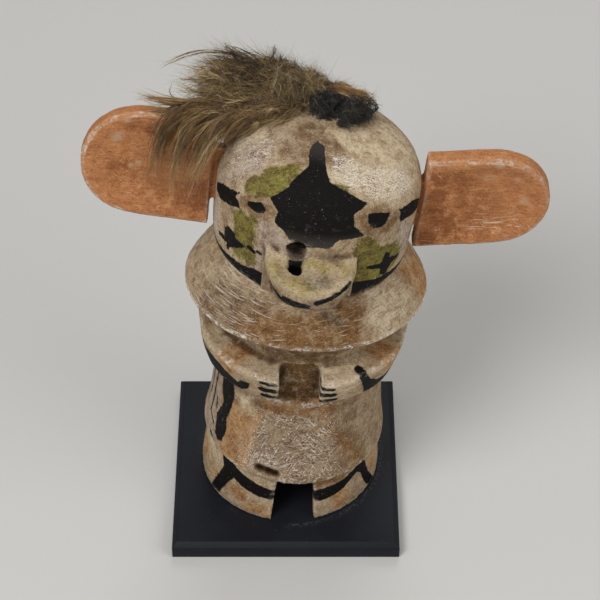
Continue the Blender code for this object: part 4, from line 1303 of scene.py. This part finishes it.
class DOLL_OT_ears(bpy.types.Operator):
    """Models the two planked ears"""

    bl_idname = "doll.ears"
    bl_label = "Ears"

    def execute(self, context):
        sizes = context.scene.doll_sizes
        finish = orange_paint(context.scene.doll_colours)
        for index, node in enumerate(EAR_POSES):
            piece = merged_copy(node, "painted_" + node)
            regrid(piece, sizes.ear_grid)
            points = vertex_points(piece)
            normals = vertex_normals(piece)
            local = into(ear_frame(node), points)
            marks = rough_noise(points, 0.009, 51 + index) * sizes.knife_depth * 0.8
            marks = marks + rough_noise(points, 0.0022, 61 + index) * sizes.knife_depth * 0.25
            edge = step(-hollowness(piece, 5), 0.00006, 0.00022)
            chips = step(rough_noise(points, 0.005, 71 + index), 0.25, 0.6) * edge * sizes.chip_depth * 0.7
            set_points(piece, points + normals * (marks - chips)[:, None])
            hollow = hollowness(piece, 7)
            side = EAR_POSES[node][0]
            along = local[:, 0] * side / EAR_LENGTH
            up = local[:, 2] / EAR_HEIGHT
            front = local[:, 1] < 0.0
            # Painted shade from the listed patches, with some brown mottling.
            shade = np.zeros(len(points))
            for x, z, reach, strength in EAR_SHADES[node]:
                away = np.hypot(local[:, 0] - x * MM, local[:, 2] - z * MM) / (reach * MM)
                shade = np.maximum(shade, strength * (1.0 - step(away, 0.35, 1.25)))
            # Faces that turn upward get painted light: the shade goes below 0 there.
            upward = into_directions(ear_frame(node), normals)[:, 2]
            shade = np.where(front, shade, EAR_BACK_SHADE) - 0.4 * step(upward, 0.35, 0.8)
            scuff = np.zeros(len(points))
            for x, z, reach in EAR_SCUFFS[node]:
                away = np.hypot(local[:, 0] - x * MM, local[:, 2] - z * MM) / (reach * MM)
                scuff = np.maximum(scuff, 1.15 - away)
            middle = step(along, 0.25, 0.45) * (1.0 - step(along, 0.70, 0.85))
            middle = middle * (1.0 - step(np.abs(up + 0.27), 0.04, 0.14))
            scratched = front * (0.12 + (0.6 if side > 0 else 0.2) * middle)
            set_attribute(piece, "shade", shade)
            set_attribute(piece, "scuff", np.clip(scuff, 0.0, 1.0) * front)
            set_attribute(piece, "scratched", scratched)
            set_attribute(piece, "edge", step(-hollow, 0.00006, 0.00026) * (0.8 if side > 0 else 1.2))
            # Painted shade in the ear's hollows.
            set_attribute(piece, "hollow_shade", step(hollow, 0.00008, 0.0003))
            settle(piece, finish, node)
        return {"FINISHED"}


class DOLL_OT_plume(bpy.types.Operator):
    """Models the brown feathers at the crown"""

    bl_idname = "doll.plume"
    bl_label = "Feather plume"

    def execute(self, context):
        colours = context.scene.doll_colours
        barb = context.scene.doll_sizes.barb_width
        finish = feather_finish("brown_feather", colours.bistre, colours.feather, colours.fawn, colours.amber)
        for name, parts, seed, node in PLUME_GROUPS:
            strands = Strands(seed)
            for tufts, loose, lock_hairs in parts:
                for root, middle, tip, spread, count, tone, fade in tufts:
                    strands.add_tuft(root, middle, tip, spread, count, tone, fade, barb, loose, lock_hairs)
                    if loose > WOOLLY:
                        strands.add_fluff(root, middle, tip, spread, count // FLUFF_SHARE, tone, barb)
            piece = strands.build(name, head_frame())
            keep_above_crown(piece, 0.0004)
            keep_before_ear(piece, "left_ear", 0.0006)
            set_attribute(piece, "warm", np.full(len(piece.data.vertices), WARMTH.get(name, 0.0)))
            settle(piece, finish, node)
        return {"FINISHED"}


class DOLL_OT_dark_feathers(bpy.types.Operator):
    """Models the short black curled feathers"""

    bl_idname = "doll.dark_feathers"
    bl_label = "Dark feathers"

    def execute(self, context):
        colours = context.scene.doll_colours
        barb = context.scene.doll_sizes.barb_width * DARK_BARB
        raven = colours.raven
        finish = feather_finish("dark_feather", raven, linear(52, 45, 36), linear(94, 84, 68), raven)
        strands = Strands(307)
        strands.add_tuft(*DARK_SOCKET_TUFT, barb, DARK_LOOSE)
        for x, y in DARK_CURLS:
            z = float(crown_height(x * MM, y * MM)) / MM
            out = strands.random.normal(0.0, 1.8, 2)
            tip = (x + 1.6 * out[0], y + 1.6 * out[1] - 1.2, z + 1.2)
            top = (x + out[0], y + out[1], z + 3.0)
            strands.add_tuft((x, y, z), top, tip, *DARK_CURL, barb, DARK_LOOSE)
        piece = strands.build("curled_dark_feathers", head_frame())
        keep_above_crown(piece, 0.0003)
        settle(piece, finish, "dark_feathers")
        return {"FINISHED"}


class DOLL_OT_stand(bpy.types.Operator):
    """Models the square black stand"""

    bl_idname = "doll.stand"
    bl_label = "Stand"

    def execute(self, context):
        sizes = context.scene.doll_sizes
        piece = merged_copy("stand", "black_stand")
        apply_modifier(
            piece, "Edges", "BEVEL", width=sizes.plate_edge, segments=3, limit_method="ANGLE",
            angle_limit=math.radians(20))
        bpy.ops.object.shade_smooth_by_angle(angle=math.radians(40))
        settle(piece, black_plate(context.scene.doll_colours), "stand")
        return {"FINISHED"}


FLOOR_SIDE = 8.0
SENSOR_WIDTH_MM = 36.0
NEAR_CLIP = 0.01
LAMPS = [
    ("key_lamp", (-0.75, -0.95, 1.55), 0.9, 21.0),
    ("fill_lamp", (1.15, -0.75, 1.0), 1.2, 8.0),
    ("back_lamp", (0.2, 1.2, 1.4), 0.9, 7.0),
]
WORLD_LIGHT = 0.42


class DOLL_OT_stage(bpy.types.Operator):
    """Sets the floor, the soft lamps and the camera"""

    bl_idname = "doll.stage"
    bl_label = "Stage"

    def execute(self, context):
        scene = context.scene
        view = scene.doll_stage
        deselect_all()
        bpy.ops.mesh.primitive_plane_add(size=FLOOR_SIDE, location=(0.0, 0.0, 0.0))
        floor = context.active_object
        floor.name = "studio_floor"
        floor.data.materials.append(studio_floor(scene.doll_colours))
        middle = Vector((0.0, 0.0, FIGURE_HEIGHT / 2.0))
        for name, place, size, power in LAMPS:
            lamp = bpy.data.lights.new(name, "AREA")
            lamp.shape = "DISK"
            lamp.size = size
            lamp.energy = power
            holder = bpy.data.objects.new(name, lamp)
            holder.location = place
            holder.rotation_euler = (middle - Vector(place)).to_track_quat("-Z", "Y").to_euler()
            scene.collection.objects.link(holder)
        world = bpy.data.worlds.new("studio")
        world.use_nodes = True
        world.node_tree.nodes["Background"].inputs["Color"].default_value = (*scene.doll_colours.floor, 1.0)
        world.node_tree.nodes["Background"].inputs["Strength"].default_value = WORLD_LIGHT
        scene.world = world
        camera = bpy.data.cameras.new("camera")
        camera.lens = view.lens
        camera.sensor_width = SENSOR_WIDTH_MM
        camera.clip_start = NEAR_CLIP
        holder = bpy.data.objects.new("camera", camera)
        back = Vector((0.0, -math.cos(view.elevation), math.sin(view.elevation))) * view.distance
        holder.location = Vector((view.aim_x, view.aim_y, view.aim_z)) + back
        holder.rotation_euler = (math.pi / 2.0 - view.elevation, 0.0, 0.0)
        scene.collection.objects.link(holder)
        scene.camera = holder
        scene.view_settings.view_transform = "Standard"
        return {"FINISHED"}


class DOLL_PT_panel(bpy.types.Panel):
    """Lists the pieces, their sizes and their colours"""

    bl_label = "Kachina doll"
    bl_space_type = "VIEW_3D"
    bl_region_type = "UI"
    bl_category = "Doll"

    def draw(self, context):
        for name in STEPS:
            self.layout.operator("doll." + name)
        for group in (context.scene.doll_sizes, context.scene.doll_colours, context.scene.doll_stage):
            box = self.layout.box()
            for name in group.__annotations__:
                box.prop(group, name)


STEPS = ("stage", "stand", "carved_doll", "ears", "plume", "dark_feathers")
GROUPS = {"doll_sizes": DollSizes, "doll_colours": DollColours, "doll_stage": DollStage}
CLASSES = (
    DOLL_OT_stage, DOLL_OT_stand, DOLL_OT_carved_doll, DOLL_OT_ears, DOLL_OT_plume, DOLL_OT_dark_feathers,
    DOLL_PT_panel,
)


def register():
    """Makes the pieces' operators, their settings and the panel known."""
    for name, group in GROUPS.items():
        bpy.utils.register_class(group)
        setattr(bpy.types.Scene, name, PointerProperty(type=group))
    for item in CLASSES:
        bpy.utils.register_class(item)


def unregister():
    """Takes them away again."""
    for item in reversed(CLASSES):
        bpy.utils.unregister_class(item)
    for name, group in GROUPS.items():
        delattr(bpy.types.Scene, name)
        bpy.utils.unregister_class(group)


def main():
    """Makes every piece."""
    register()
    for name in STEPS:
        getattr(bpy.ops.doll, name)()


if __name__ == "__main__":
    main()
